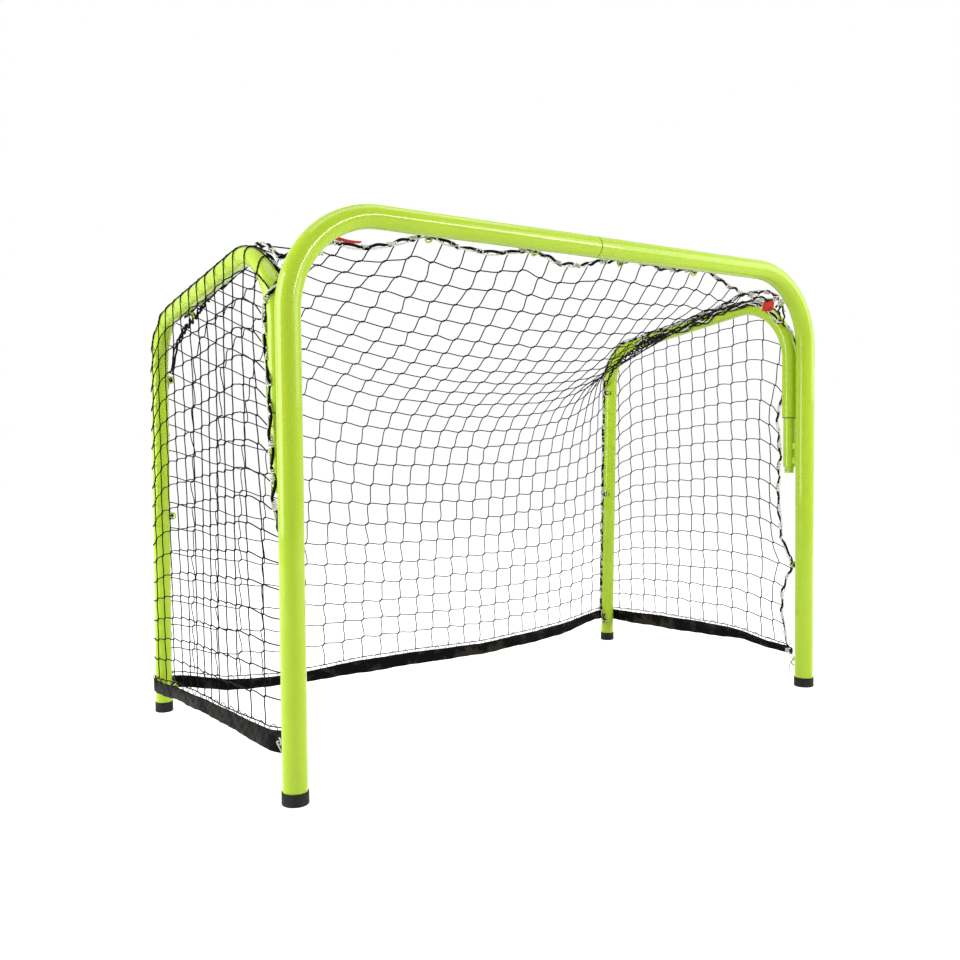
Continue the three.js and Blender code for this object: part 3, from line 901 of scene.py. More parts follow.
@dataclass
class FrontFrame(Assembly):
    """The two bent halves of the front frame, a dark ring painted as the shadow of the seam where they meet,
    and the eyes along them.
    """

    eye_wire: float = 0.0016
    eye_ring: float = 0.0062
    eye_open: float = 70.0
    eye_seat: float = 0.0005
    bar_places: tuple[float, ...] = (-0.355, -0.130, 0.080, 0.283)

    def build(self) -> None:
        """Builds both halves."""
        for hand in Hand:
            self.half(hand)
            self.post_eyes(hand)
        self.bar_eyes()
        self.seam()

    def seam(self) -> None:
        """A black ring at the bottom of the groove where the two halves meet over the sleeve: painted shadow
        standing in for the dark gap.
        """
        lay = self.layout
        line = together([-0.0007, -0.0004, 0.0004, 0.0007], lay.front_y, lay.bar_z)
        radii = lay.post_radius - np.array([0.0011, 0.0004, 0.0004, 0.0011])
        # Painted shadow: this black ring stands in for the shade inside the gap between the halves.
        draft = Draft()
        draft.hollow(line, *frames(line, (0.0, 1.0, 0.0)), radii, lay.post_radius - 0.0013)
        draft.finish("crossbar_seam_shadow_ring", self.finishes.rubber, ROOT)

    def half(self, hand: Hand) -> None:
        """One bent tube: a circle along post, bend and half the crossbar, with its bore.

        Args:
            hand: The side.
        """
        lay = self.layout
        line = lay.front_line.stations
        centres = together(hand.value * line[:, 0], lay.front_y, line[:, 1])
        draft = Draft()
        draft.pipe(centres, (0.0, 1.0, 0.0), lay.post_radius, lay.wall, 0.0009)
        draft.finish(f"tube_front_{hand.word}", self.finishes.paint, ROOT, f"front_frame_{hand.word}_half")

    def eye(self, name: str, body: str, at: Array, away: Spot, along: Spot) -> None:
        """Builds an open ring of wire on a tube, with a weld bead round each of its feet.

        Args:
            name: The CAD piece's name.
            body: The body it belongs to.
            at: The point of the tube's surface.
            away: The direction out of the tube.
            along: The direction in the ring's plane along the tube.
        """
        away, along = unit(np.asarray(away, float)), unit(np.asarray(along, float))
        gap = math.radians(self.eye_open / 2.0)
        half = math.pi - gap
        reach = self.eye_seat + math.cos(gap) * (self.eye_ring + self.eye_wire)
        angle = np.linspace(-half, half, 37)[:, None]
        ring = at + away * reach + self.eye_ring * (np.cos(angle) * away + np.sin(angle) * along)
        swell = 1.0 + 0.28 * np.exp(-((np.degrees(half - np.abs(angle[:, 0])) / 9.0) ** 2))
        draft = Draft()
        draft.rings(ring, *frames(ring, np.cross(away, along)), circle(self.eye_wire * swell, 14))
        draft.finish(f"wire_{name}", self.finishes.paint, body, name)

    def post_eyes(self, hand: Hand) -> None:
        """The two eyes behind a post and the one inside its bend.

        Args:
            hand: The side.
        """
        lay, sign = self.layout, hand.value
        for word, height in zip(("lower", "upper"), lay.post_eye_z):
            at = lay.post_eye(hand, height, 0.0)
            self.eye(f"{word}_post_eye_{hand.word}", ROOT, at, (0, 1, 0), UPRIGHT)
        straight = lay.bar_z - lay.tube_foot - lay.bar_bend
        middle = lay.front_line.at(straight + lay.bar_bend * math.pi / 4)[0]
        turn, slant = math.radians(40.0), math.sqrt(0.5)
        away = np.array([-sign * math.cos(turn) * slant, math.sin(turn), -math.cos(turn) * slant])
        at = np.array([sign * middle[0], lay.front_y, middle[1]]) + lay.post_radius * away
        self.eye(f"corner_eye_{hand.word}", ROOT, at, away, (-sign * slant, 0.0, slant))

    def bar_eye(self, place: float, out: float) -> Array:
        """The point so far out of the crossbar's surface, through the eye at an X.

        Args:
            place: The eye's X.
            out: How far out.

        Returns:
            The point.
        """
        lay, drop = self.layout, math.radians(50.0)
        away = np.array([0.0, math.cos(drop), -math.sin(drop)])
        return np.array([place, lay.front_y, lay.bar_z]) + (lay.post_radius + out) * away

    def bar_eyes(self) -> None:
        """The four eyes behind and below the crossbar."""
        for index, place in enumerate(self.bar_places):
            at = self.bar_eye(place, 0.0)
            self.eye(f"crossbar_eye_{index + 1}", ROOT, at, self.bar_eye(place, 1.0) - at, (1, 0, 0))


@dataclass
class FootCap(Assembly):
    """A rubber cap on a tube's foot: rounded below, with a groove round it and a rolled lip above."""

    gap: float = 0.0003
    wall: float = 0.0012
    corner: float = 0.0024
    groove_depth: float = 0.0003
    groove_z: tuple[float, ...] = (0.0062, 0.0067, 0.0073, 0.0078)
    lip: float = 0.0006
    lip_z: float = 0.0204
    bore_z: float = 0.003

    def build(self, name: str, body: str, radius: float, at: Pair) -> None:
        """Builds one cap.

        Args:
            name: The CAD piece's name.
            body: The body it belongs to.
            radius: Its tube's radius.
            at: The tube's place on the floor.
        """
        bore = radius + self.gap
        outer = bore + self.wall
        groove, corner = outer - self.groove_depth, self.corner
        turn = np.radians(np.linspace(0.0, 90.0, 9))
        roll = np.radians(np.linspace(0.0, 170.0, 9))
        low = together(outer - corner + corner * np.sin(turn), corner - corner * np.cos(turn))
        side = list(zip((outer, groove, groove, outer), self.groove_z))
        lip = together(bore + self.lip + self.lip * np.cos(roll), self.lip_z + self.lip * np.sin(roll))
        draft = Draft()
        draft.lathe(np.vstack([low, side, lip, [(bore, self.bore_z)]]), (*at, 0.0))
        draft.finish(f"cap_{name}", self.finishes.rubber, body, name)


@dataclass
class SideFrame(SidePart):
    """A folding side frame: its bent tube, its eyes and the hinge's parts."""

    front: FrontFrame
    rear_eyes: tuple[float, ...] = (0.050, 0.410, 0.690)
    top_eye_ahead: float = 0.118
    eye_turn: float = 40.0
    pivot_z: tuple[float, ...] = (0.481, 0.52, 0.56, 0.60, 0.63, 0.6591)
    pivot_tube: Pair = (0.0105, 0.002)
    socket_z: Point = (0.495, 0.550, 0.605)
    socket_tube: Pair = (0.0135, 0.0027)
    tab_rises: Pair = (0.014, 0.047)
    tab_size: Pair = (0.014, 0.010)
    tab_corner: float = 0.0012

    @property
    def eye_distances(self) -> list[float]:
        """The eyes' places along the centre line: three up the rear leg, and one on the rail.

        Returns:
            The distances.
        """
        rear = self.layout.rear_distance
        top = rear(self.layout.rear_corner[1]) - self.top_eye_ahead
        return [*(rear(height) for height in self.rear_eyes), top]

    def build(self) -> None:
        """Builds the side frame of one side."""
        lay, paint = self.layout, self.finishes.paint
        draft = Draft()
        draft.pipe(self.placed(lay.tube_line.stations), (1.0, 0.0, 0.0), lay.side_radius, lay.wall)
        draft.finish(f"tube_side_{self.word}", paint, self.body, f"side_frame_{self.word}")
        names = ("lower_rear_eye", "middle_rear_eye", "upper_rear_eye", "top_rail_eye")
        for name, distance in zip(names, self.eye_distances):
            along = lay.tube_line.at(distance)[1]
            at = self.eye_centre(distance, 0.0)
            away = self.eye_centre(distance, 1.0) - at
            self.front.eye(f"{name}_{self.word}", self.body, at, away, (0.0, *along))
        self.socket()
        draft = Draft()
        draft.pipe(self.on_axis(self.pivot_z), (1.0, 0.0, 0.0), *self.pivot_tube)
        draft.finish(f"pivot_{self.word}", paint, self.body, f"pivot_tube_{self.word}")

    def on_axis(self, heights: Spot) -> Array:
        """Points of the hinge's axis."""
        return together(self.sign * self.layout.post_x, self.layout.hinge_y, heights)

    def placed(self, spots: Array) -> Array:
        """Carries places of the side frame's plane, as (..., 2), into the goal."""
        lay = self.layout
        return together(self.sign * lay.post_x, lay.hinge_y + spots[..., 0], spots[..., 1])

    def eye_centre(self, distance: float, out: float) -> Array:
        """A point on the line out of the side frame through an eye.

        Args:
            distance: The eye's place along the centre line.
            out: How far outside the tube's surface.

        Returns:
            The point.
        """
        spot, _, outward = self.layout.tube_line.at(distance)
        turn = math.radians(self.eye_turn)
        away = np.array([-self.sign * math.cos(turn), *(-math.sin(turn) * outward)])
        return self.placed(spot) + away * (self.layout.side_radius + out)

    def tab_section(self) -> Array:
        """A weld tab's section: a rectangle with a quarter circle at each corner.

        Returns:
            The section's points, as (points, 2).
        """
        size, corner = np.array(self.tab_size), self.tab_corner
        turn = np.arange(4)[:, None] * (math.pi / 2.0) + np.radians(np.linspace(0.0, 90.0, 5))
        middle = np.array([[1, 1], [-1, 1], [-1, -1], [1, -1]]) * (size / 2.0 - corner)
        return (middle[:, None] + corner * together(np.cos(turn), np.sin(turn))).reshape(-1, 2)

    def socket(self) -> None:
        """The socket tube and its two weld tabs, each with a bead of weld."""
        lay = self.layout
        draft = Draft()
        draft.pipe(self.on_axis(self.socket_z), (1.0, 0.0, 0.0), *self.socket_tube)
        reach = np.linspace(lay.front_y + lay.post_radius - 0.0004, lay.hinge_y - 0.0128, 9)
        share = np.abs(np.linspace(-1.0, 1.0, 9))[:, None, None] ** 6
        section = self.tab_section() * (1.0 + 0.16 * share)
        for rise in self.tab_rises:
            bar = together(self.sign * lay.post_x, reach, self.socket_z[0] + rise)
            draft.rings(bar, UPRIGHT, (1.0, 0.0, 0.0), section)
        draft.finish(f"socket_{self.word}", self.finishes.paint, ROOT, f"hinge_socket_{self.word}")


# Netting. The tables were measured on the photograph, in metres.

# The roof net's front edge, as (X, Y, Z), drawn up to the crossbar between its eyes.
ROOF_FRONT = [
    [-0.637, -0.257, 0.842], [-0.609, -0.257, 0.849], [-0.585, -0.264, 0.860], [-0.535, -0.298, 0.876],
    [-0.499, -0.307, 0.873], [-0.463, -0.308, 0.875], [-0.420, -0.308, 0.886], [-0.391, -0.308, 0.896],
    [-0.362, -0.308, 0.905], [-0.340, -0.308, 0.904], [-0.318, -0.308, 0.897], [-0.260, -0.308, 0.891],
    [-0.217, -0.308, 0.890], [-0.140, -0.308, 0.902], [-0.105, -0.308, 0.896], [-0.070, -0.308, 0.886],
    [-0.021, -0.308, 0.887], [0.028, -0.308, 0.897], [0.085, -0.308, 0.906], [0.133, -0.308, 0.906],
    [0.187, -0.308, 0.900], [0.244, -0.308, 0.901], [0.296, -0.308, 0.908], [0.324, -0.304, 0.908],
    [0.376, -0.296, 0.895], [0.414, -0.290, 0.883], [0.452, -0.284, 0.877], [0.501, -0.280, 0.871],
    [0.555, -0.276, 0.868], [0.586, -0.272, 0.874], [0.604, -0.268, 0.878],
]
# The back band, as (X, lower edge, upper edge).
BACK_BAND = np.array([
    [-0.604, 0.046, 0.071], [-0.582, 0.046, 0.071], [-0.495, 0.028, 0.052], [-0.380, 0.026, 0.047],
    [-0.319, 0.028, 0.051], [-0.186, 0.031, 0.061], [-0.040, 0.033, 0.062], [0.141, 0.031, 0.058],
    [0.420, 0.042, 0.070], [0.497, 0.053, 0.077], [0.579, 0.062, 0.084], [0.604, 0.062, 0.084],
])
# A side band, as (distance behind the hinge, lower edge, upper edge).
SIDE_BAND = {
    Hand.LEFT: np.array([
        [-0.030, 0.072, 0.109], [0.088, 0.072, 0.103], [0.262, 0.068, 0.095], [0.470, 0.057, 0.082],
        [0.604, 0.043, 0.069],
    ]),
    Hand.RIGHT: np.array([
        [-0.002, 0.061, 0.077], [0.022, 0.062, 0.079], [0.079, 0.066, 0.082], [0.152, 0.073, 0.093],
        [0.200, 0.071, 0.097], [0.299, 0.065, 0.096], [0.406, 0.061, 0.093], [0.611, 0.055, 0.083],
    ]),
}
# A side net's front edge, as (Z, distance behind the hinge).
MOUTH_EDGE = {
    Hand.LEFT: np.array([
        [0.062, -0.030], [0.108, -0.028], [0.193, -0.030], [0.287, -0.026], [0.380, -0.031],
        [0.471, -0.020], [0.595, -0.010], [0.653, -0.005], [0.713, 0.005], [0.779, 0.003],
        [0.809, -0.011], [0.832, -0.018], [0.960, -0.018],
    ]),
    Hand.RIGHT: np.array([
        [0.058, 0.017], [0.080, 0.020], [0.114, 0.026], [0.160, 0.035], [0.207, 0.032], [0.235, 0.024],
        [0.256, 0.006], [0.270, -0.004], [0.284, 0.008], [0.303, 0.022], [0.330, 0.036], [0.369, 0.041],
        [0.425, 0.046], [0.477, 0.046], [0.517, 0.040], [0.565, 0.044], [0.606, 0.050], [0.640, 0.040],
        [0.680, 0.020], [0.720, 0.003], [0.770, -0.013], [0.804, -0.012], [0.832, -0.006], [0.960, 0.000],
    ]),
}
# The side net's row along the rail, as (distance behind the hinge, Z).
RAIL_ROW = np.array([
    [-0.040, 0.815], [0.000, 0.838], [0.050, 0.872], [0.100, 0.886], [0.150, 0.881], [0.300, 0.858],
    [0.450, 0.834], [0.520, 0.816], [0.570, 0.782], [0.600, 0.750], [0.680, 0.700],
])


@dataclass
class Netting:
    """Knotted twine on a surface that is read by cell numbers across and down.

    Knots sit at whole numbers, each moved a little by chance. A knot is a short slanting bar: twine
    enters it at its upper right and lower left ends, so every span starts low and ends high of its
    own line, by the hook, and crosses over in between by a cosine.
    """

    surface: Callable[[Array, Array], Array]
    facing: Callable[[Array, Array], Array]
    columns: int
    rows: int
    seed: int
    radius: float = 0.0011
    jitter: float = 0.022
    hook: Pair = (0.052, 0.040)
    bow: float = 0.016
    droop: float = 0.012
    shares: tuple[float, ...] = (0.03, 0.14, 0.30, 0.50, 0.70, 0.86, 0.97)

    def __post_init__(self) -> None:
        """Draws the chance moves of all knots and spans."""
        chance = np.random.default_rng(self.seed)
        size = (self.columns + 3, self.rows + 3, 2)
        self.moves = chance.normal(0.0, self.jitter, size)
        self.bows = chance.normal(0.0, self.bow, size)
        self.swings = chance.normal(1.0, 0.22, size)

    def cell(self, across: Array, down: Array) -> tuple[Array, Array]:
        """The column and the row, as whole numbers inside the netting."""
        numbers = ((across, self.columns), (down, self.rows))
        return tuple(np.clip(np.floor(value).astype(int), 0, most) for value, most in numbers)

    def place(self, across: Array, down: Array, way: int) -> Array:
        """Where the twine lies, from cell numbers of which one is whole.

        The nearest knots' moves are blended along the span. The hook is -cos(pi * share), a little
        larger in the middle thirds, and the bow is sin(pi * share).

        Args:
            across: Cell numbers across.
            down: Cell numbers down.
            way: 0 for a row, which runs across, and 1 for a column.

        Returns:
            The points.
        """
        edge = self._edge_fade(across, down)
        shift_across, shift_down = self._knot_moves(across, down, edge)
        run = across if way == 0 else down
        share = math.pi * (run - np.floor(run))
        index = self.cell(across + way * 0.5, down + (1 - way) * 0.5)
        swing = -np.cos(share) * (1.0 + 0.35 * np.sin(share)) * self.swings[index][..., way]
        sway = swing * self.hook[1 - way] * edge + self.bows[index][..., way] * np.sin(share)
        if way == 0:
            return self.surface(across + shift_across, down + shift_down + sway + self.droop * np.sin(share))
        return self.surface(across + shift_across + sway, down + shift_down)

    def _knot_moves(self, across: Array, down: Array, edge: Array) -> tuple[Array, Array]:
        """The knots' moves, blended straight along the spans between them.

        Args:
            across: Cell numbers across.
            down: Cell numbers down.
            edge: The fade at the edges.

        Returns:
            The moves across and down.
        """
        column, row = self.cell(across, down)
        one, two = (across - column)[..., None], (down - row)[..., None]
        moves = (
            self.moves[column, row] * (1 - one) * (1 - two)
            + self.moves[column + 1, row] * one * (1 - two)
            + self.moves[column, row + 1] * (1 - one) * two
            + self.moves[column + 1, row + 1] * one * two
        )
        return moves[..., 0] * edge, moves[..., 1] * edge

    def _edge_fade(self, across: Array, down: Array) -> Array:
        """One inside the netting, falling to nothing over the last half cell at each edge."""
        ends = np.minimum(across, self.columns - across), np.minimum(down, self.rows - down)
        return np.clip(2.0 * np.minimum(*ends), 0.0, 1.0)

    def strand(self, draft: Draft, start: float, end: float, fixed: float, way: int) -> None:
        """Adds one length of twine.

        Args:
            draft: Where it is added.
            start: The cell number it starts at.
            end: The cell number it ends at.
            fixed: The cell number of its own row or column.
            way: 0 for a row and 1 for a column.
        """
        cells = np.arange(math.floor(start), math.ceil(end))
        run = (cells[:, None] + np.array(self.shares)).ravel()
        run = np.r_[start, run[(run > start + 0.02) & (run < end - 0.02)], end]
        lane = np.full(len(run), float(fixed))
        across, down = (run, lane) if way == 0 else (lane, run)
        draft.cords(self.place(across, down, way), self.facing(across, down), self.radius)

    def knots(self, draft: Draft, across: Array, down: Array) -> None:
        """Adds knots: short thick bars from each crossing's lower left to its upper right.

        Args:
            draft: Where they are added.
            across: The knots' cell numbers across.
            down: The knots' cell numbers down.
        """
        near = 0.04
        left, right = (self.place(across + step, down, 0) for step in (-near, near))
        facing = unit(self.facing(across, down))
        slant = unit(right - left)
        slant = unit(slant - np.sum(slant * facing, axis=-1, keepdims=True) * facing)
        facing, slant = facing[:, None], slant[:, None]
        share = np.array([-1.0, -0.7, -0.25, 0.25, 0.7, 1.0])[:, None]
        line = ((left + right) / 2.0)[:, None] + 2.9 * self.radius * share * slant
        radii = self.radius * np.array([0.9, 1.75, 1.5, 1.5, 1.75, 0.9])
        draft.rings(line, facing, np.cross(slant, facing), circle(radii, 7))


@dataclass
class RoofSheet(Assembly):
    """The roof and back net: one slack sheet from the crossbar over the side frames to the hem.

    Its side edges follow the side frames' inner sides and its middle follows one smooth curve. In
    between it falls from the edge to the middle by 1 - |x| ** n, where x runs from -1 to 1 across.
    """

    columns: int = 26
    rows: int = 24
    split_row: int = 4
    seat: float = 0.0184
    seat_turn: float = 30.0
    start_turn: float = 42.0
    pulls: tuple[Pair, ...] = ((0.337, 0.510), (0.554, 0.839), (0.592, 0.049))
    foot_gap: float = 0.0065
    bar_seat: float = 0.0215
    bar_drop: float = 20.0
    blend_half: float = 0.59
    blend_ahead: float = 0.355

    def __post_init__(self) -> None:
        """Reads the lines that the sheet hangs between. The middle's curve is a cubic of four knots."""
        lay = self.layout
        self.line = lay.tube_line
        run, fall = np.subtract(lay.rear_corner, lay.front_corner)
        half_turn = math.acos(fall / math.hypot(run, fall)) / 2.0
        straight = lay.front_corner[1] - lay.leg_foot
        self.start = straight + lay.side_bends[0] * (math.radians(self.start_turn) - math.tan(half_turn))
        self.end = lay.rear_distance(lay.hem_top)
        drop = math.radians(self.bar_drop)
        first = (self.bar_seat * math.cos(drop), lay.bar_z - self.bar_seat * math.sin(drop))
        knots = np.array([first, *self.pulls])
        share = np.linspace(0.0, 1.0, 2001)[:, None]
        self.curve = sum(
            math.comb(3, power) * share**power * (1 - share) ** (3 - power) * knots[power]
            for power in range(4)
        )
        self.reach = run_length(self.curve)
        edge = smooth_through(ROOF_FRONT, 8)
        self.front = edge[np.argsort(edge[:, 0])]

    def edge(self, down: Array) -> Array:
        """The right edge's points, from shares of the way down.

        Args:
            down: The shares.

        Returns:
            The points.
        """
        lay, turn = self.layout, math.radians(self.seat_turn)
        spot, _, outward = self.line.at(self.start + (self.end - self.start) * down)
        spot = spot + self.seat * math.sin(turn) * outward
        across = lay.post_x - self.seat * math.cos(turn)
        return together(across, lay.hinge_y + spot[..., 0], spot[..., 1])

    def middle(self, down: Array) -> Array:
        """The middle's (Y, Z), from shares of the way down."""
        place = np.clip(down, 0.0, 1.0) * self.reach[-1]
        return read_at(place, self.reach, self.curve) + [self.layout.front_y, 0.0]

    def plain(self, across: Array, down: Array) -> Array:
        """The sheet without its scallops, from -1..1 across and 0..1 down.

        Args:
            across: The places across.
            down: The places down.

        Returns:
            The points.
        """
        edge, middle = self.edge(down), self.middle(down)
        power = 6.0 - 3.5 * np.minimum(down / 0.12, 1.0)
        fall = 1.0 - np.minimum(np.abs(across), 1.0) ** power
        rest = edge[..., 1:] + (middle - edge[..., 1:]) * fall[..., None]
        return together(edge[..., 0] * across, rest[..., 0], rest[..., 1])

    def point(self, column: Array, row: Array) -> Array:
        """The hanging sheet, from cell numbers.

        The front row is moved to the scalloped edge and the last row to the band, and both moves
        fade over the next few rows.

        Args:
            column: Cell numbers across.
            row: Cell numbers down.

        Returns:
            The points.
        """
        across = 2.0 * column / self.columns - 1.0
        down = np.clip(row / self.rows, 0.0, 1.0)
        base, top, foot = (self.plain(across, level) for level in (down, 0.0 * down, 0.0 * down + 1.0))
        wanted = read_at(top[..., 0], self.front[:, 0], self.front[:, 1:])
        base[..., 1:] += (wanted - top[..., 1:]) * np.exp(-((row / 2.2) ** 1.3))[..., None]
        lift = np.interp(foot[..., 0], BACK_BAND[:, 0], BACK_BAND[:, 2]) + self.foot_gap - foot[..., 2]
        base[..., 2] += lift * np.exp(-(((self.rows - row) / 3.0) ** 2))
        return base

    def front_spot(self, across: Array) -> Array:
        """The front edge's points at an X."""
        column = (across / self.layout.net_half + 1.0) * self.columns / 2.0
        return self.point(column, np.zeros_like(column))

    def facing(self, column: Array, row: Array) -> Array:
        """The sheet's outer side: the crossed steps down and across.

        Args:
            column: Cell numbers across.
            row: Cell numbers down.

        Returns:
            The directions.
        """
        step = 0.05
        low, high = np.maximum(row - step, 0.0), np.minimum(row + step, self.rows)
        left, right = np.maximum(column - step, 0.0), np.minimum(column + step, self.columns)
        down = self.point(column, high) - self.point(column, low)
        return unit(np.cross(down, self.point(right, row) - self.point(left, row)))

    def build(self) -> None:
        """Builds the netting in four pieces: each side, ahead of and behind the split row."""
        net = Netting(self.point, self.facing, self.columns, self.rows, seed=11)
        middle = self.columns // 2
        for hand in Hand:
            left, right = (0, middle) if hand is Hand.LEFT else (middle, self.columns)
            own = np.arange(1, middle + 1) if hand is Hand.LEFT else np.arange(middle + 1, self.columns)
            for part, low, high in (("front", 0, self.split_row), ("rear", self.split_row, self.rows)):
                draft = Draft()
                for row in range(low + 1, high + 1):
                    net.strand(draft, left, right, row, 0)
                for column in own:
                    net.strand(draft, low, high, column, 1)
                across, down = np.meshgrid(own, np.arange(low + 1, min(high + 1, self.rows)))
                net.knots(draft, across.ravel().astype(float), down.ravel().astype(float))
                made = draft.finish(f"net_{part}_{hand.word}", self.finishes.twine, node="roof_and_back_net")
                self.follow(made, hand, part == "front")

    def follow(self, made: Piece, hand: Hand, ahead: bool = False) -> None:
        """Bakes a piece of the sheet into place. The weight that would let it follow its side frame, fully
        at the edge and not at mid width, is worked out but not applied.

        Behind the split row the weight is the distance from mid width over blend_half. Ahead of it the
        weight also falls with the distance from the row, so that it is nothing along the crossbar.

        Args:
            made: The piece.
            hand: Its side.
            ahead: Whether it lies ahead of the split row.
        """
        slope, at = np.array([hand.value / self.blend_half, 0.0, 0.0]), np.zeros(3)
        if ahead:
            share = self.split_row / self.rows
            middle, edge = self.middle(share), self.edge(share)[1:]
            across = unit(edge - middle)
            square = np.array([across[1], -across[0]])
            rise = float((middle - self.middle(0.0)) @ square)
            at[1:] = middle
            slope[1:] = self.blend_ahead / self.blend_half / rise * square
        hand.body
        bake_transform(made)


@dataclass
class SideNet(SidePart):
    """A side net: flat outside the tubes, then wrapped over the rail and round the rear leg."""

    cell: float = 0.045
    wrap: float = 0.046
    outside: float = 0.0179
    columns: int = 14
    rows: int = 19
    rows_to_rail: int = 17
    knot_hook: Pair = (0.034, 0.026)

    def __post_init__(self) -> None:
        """Lays out the line that the net is wrapped round: the tubes, and the hinge axis below them."""
        self.line = self.layout.side_line(-0.2, -0.2, 3.0)

    @staticmethod
    def tuck(behind: Array) -> Array:
        """How far the net's front edge turns in to the eyes behind the post: a smooth step."""
        share = np.clip((0.020 - behind) / 0.045, 0.0, 1.0)
        return 0.0165 * share * share * (3.0 - 2.0 * share)

    def flat(self, column: Array, row: Array) -> Array:
        """The flat place of cell numbers.

        Columns are counted behind the wavy front edge. Rows are spaced evenly between the hem and
        the rail, so that they rise with both towards the front.

        Args:
            column: Cell numbers across.
            row: Cell numbers down.

        Returns:
            The places, as (..., 2).
        """
        behind, foot, edge = column * self.cell, SIDE_BAND[self.hand], MOUTH_EDGE[self.hand]
        rise = np.interp(behind, foot[:, 0], foot[:, 2]) + 0.0055
        top = np.interp(behind, RAIL_ROW[:, 0], RAIL_ROW[:, 1])
        height = rise + (top - rise) * row / self.rows_to_rail
        fade = np.clip(1.0 - column / 3.0, 0.0, 1.0) ** 1.5
        return together(behind + np.interp(height, edge[:, 0], edge[:, 1]) * fade, height)

    def wrapped(self, spots: Array) -> Array:
        """Carries flat places onto the tubes.

        Inside the line the place stays flat. Outside it, the distance d from the line becomes a turn
        of d over the wrapping radius round the tube. Free netting between is rippled a little.

        Args:
            spots: The flat places, as (..., 2).

        Returns:
            The points.
        """
        lay, distance = self.layout, self.line.outside(spots)
        moves = 0.0005 * np.eye(2)
        slopes = (self.line.outside(spots + move) - self.line.outside(spots - move) for move in moves)
        outward, behind, height = unit(together(*slopes)), spots[..., 0], spots[..., 1]
        tubed = np.clip((height - 0.60) / 0.08, 0.0, 1.0)
        over = np.maximum(distance, 0.0) * np.where(behind < 0.1, tubed, 1.0)
        turn = np.minimum(over / self.outside, math.radians(165.0))
        flat = spots + outward * (self.outside * np.sin(turn) - over)[..., None]
        free = np.clip(-distance / 0.12, 0.0, 1.0)
        ripple = 0.005 * free * np.sin(behind * 13.0 + 2.2 * height + self.sign)
        low = np.clip((0.46 - height) / 0.10, 0.0, 1.0)
        across = lay.post_x + self.outside * np.cos(turn) + ripple - low * self.tuck(behind)
        return together(self.sign * across, lay.hinge_y + flat[..., 0], flat[..., 1])

    def surface(self, column: Array, row: Array) -> Array:
        """The wrapped place of cell numbers."""
        return self.wrapped(self.flat(column, row))

    def facing(self, column: Array, row: Array) -> Array:
        """The netting's outer side, from small steps up and back.

        Args:
            column: Cell numbers across.
            row: Cell numbers down.

        Returns:
            The directions.
        """
        step = 0.02
        up = self.surface(column, row + step) - self.surface(column, row - step)
        back = self.surface(column + step, row) - self.surface(column - step, row)
        return unit(np.cross(back, up) * self.sign)

    def build(self) -> None:
        """Builds the netting."""
        size = (self.columns + 2, self.rows + 2)
        net = Netting(self.surface, self.facing, *size, seed=23 + self.sign, hook=self.knot_hook)
        draft = Draft()
        kept: list[Pair] = []
        for column in range(1, self.columns + 1):
            inside = self._strands(net, draft, self.rows, column, 1)
            kept += [(column, row) for row in range(1, self.rows) if inside[20 * row]]
        for row in range(self.rows):
            self._strands(net, draft, self.columns + 1, row, 0)
        net.knots(draft, *np.array(kept, float).T)
        draft.finish(f"net_side_{self.word}", self.finishes.twine, self.body, f"side_net_{self.word}")

    def _strands(self, net: Netting, draft: Draft, cells: int, lane: int, way: int) -> Array:
        """Adds the lengths of a row or column that lie less than the wrap outside the tubes' line.

        Args:
            net: The netting.
            draft: Where they are added.
            cells: The number of cells along it.
            lane: Its own number.
            way: 0 for a row and 1 for a column.

        Returns:
            Whether each twentieth of a cell lies on the net.
        """
        run = np.linspace(0.0, cells, 20 * cells + 1)
        across, down = (run, lane + 0.0 * run) if way == 0 else (lane + 0.0 * run, run)
        spots = self.flat(across, down)
        inside = (self.line.outside(spots) < self.wrap) | (spots[..., 1] < 0.6) & (spots[..., 0] < 0.1)
        turns = np.flatnonzero(np.diff(np.r_[0, inside.astype(int), 0]))
        for start, end in turns.reshape(-1, 2):
            if end - start > 3:
                net.strand(draft, run[start], run[end - 1], lane, way)
        return inside


# Cloth and lacing


@dataclass(frozen=True)
class BandRun:
    """One length of the hem band: the stations of its side's whole band, and the span that it takes."""

    part: str
    line: Array
    place: Array
    half: Array
    span: slice

    @property
    def ends(self) -> Pair:
        """The distances at which the length starts and ends."""
        return float(self.place[self.span][0]), float(self.place[self.span][-1])

    @property
    def ways(self) -> tuple[Array, Array]:
        """The directions up and out at each station."""
        return frames(self.line, UPRIGHT)

    def at(self, places: Array) -> list[Array]:
        """The middle, the directions up and out, and half the height, at distances along the band."""
        values = [read_at(places, self.place, value) for value in (self.line, *self.ways)]
        return [*values, np.interp(places, self.place, self.half)]


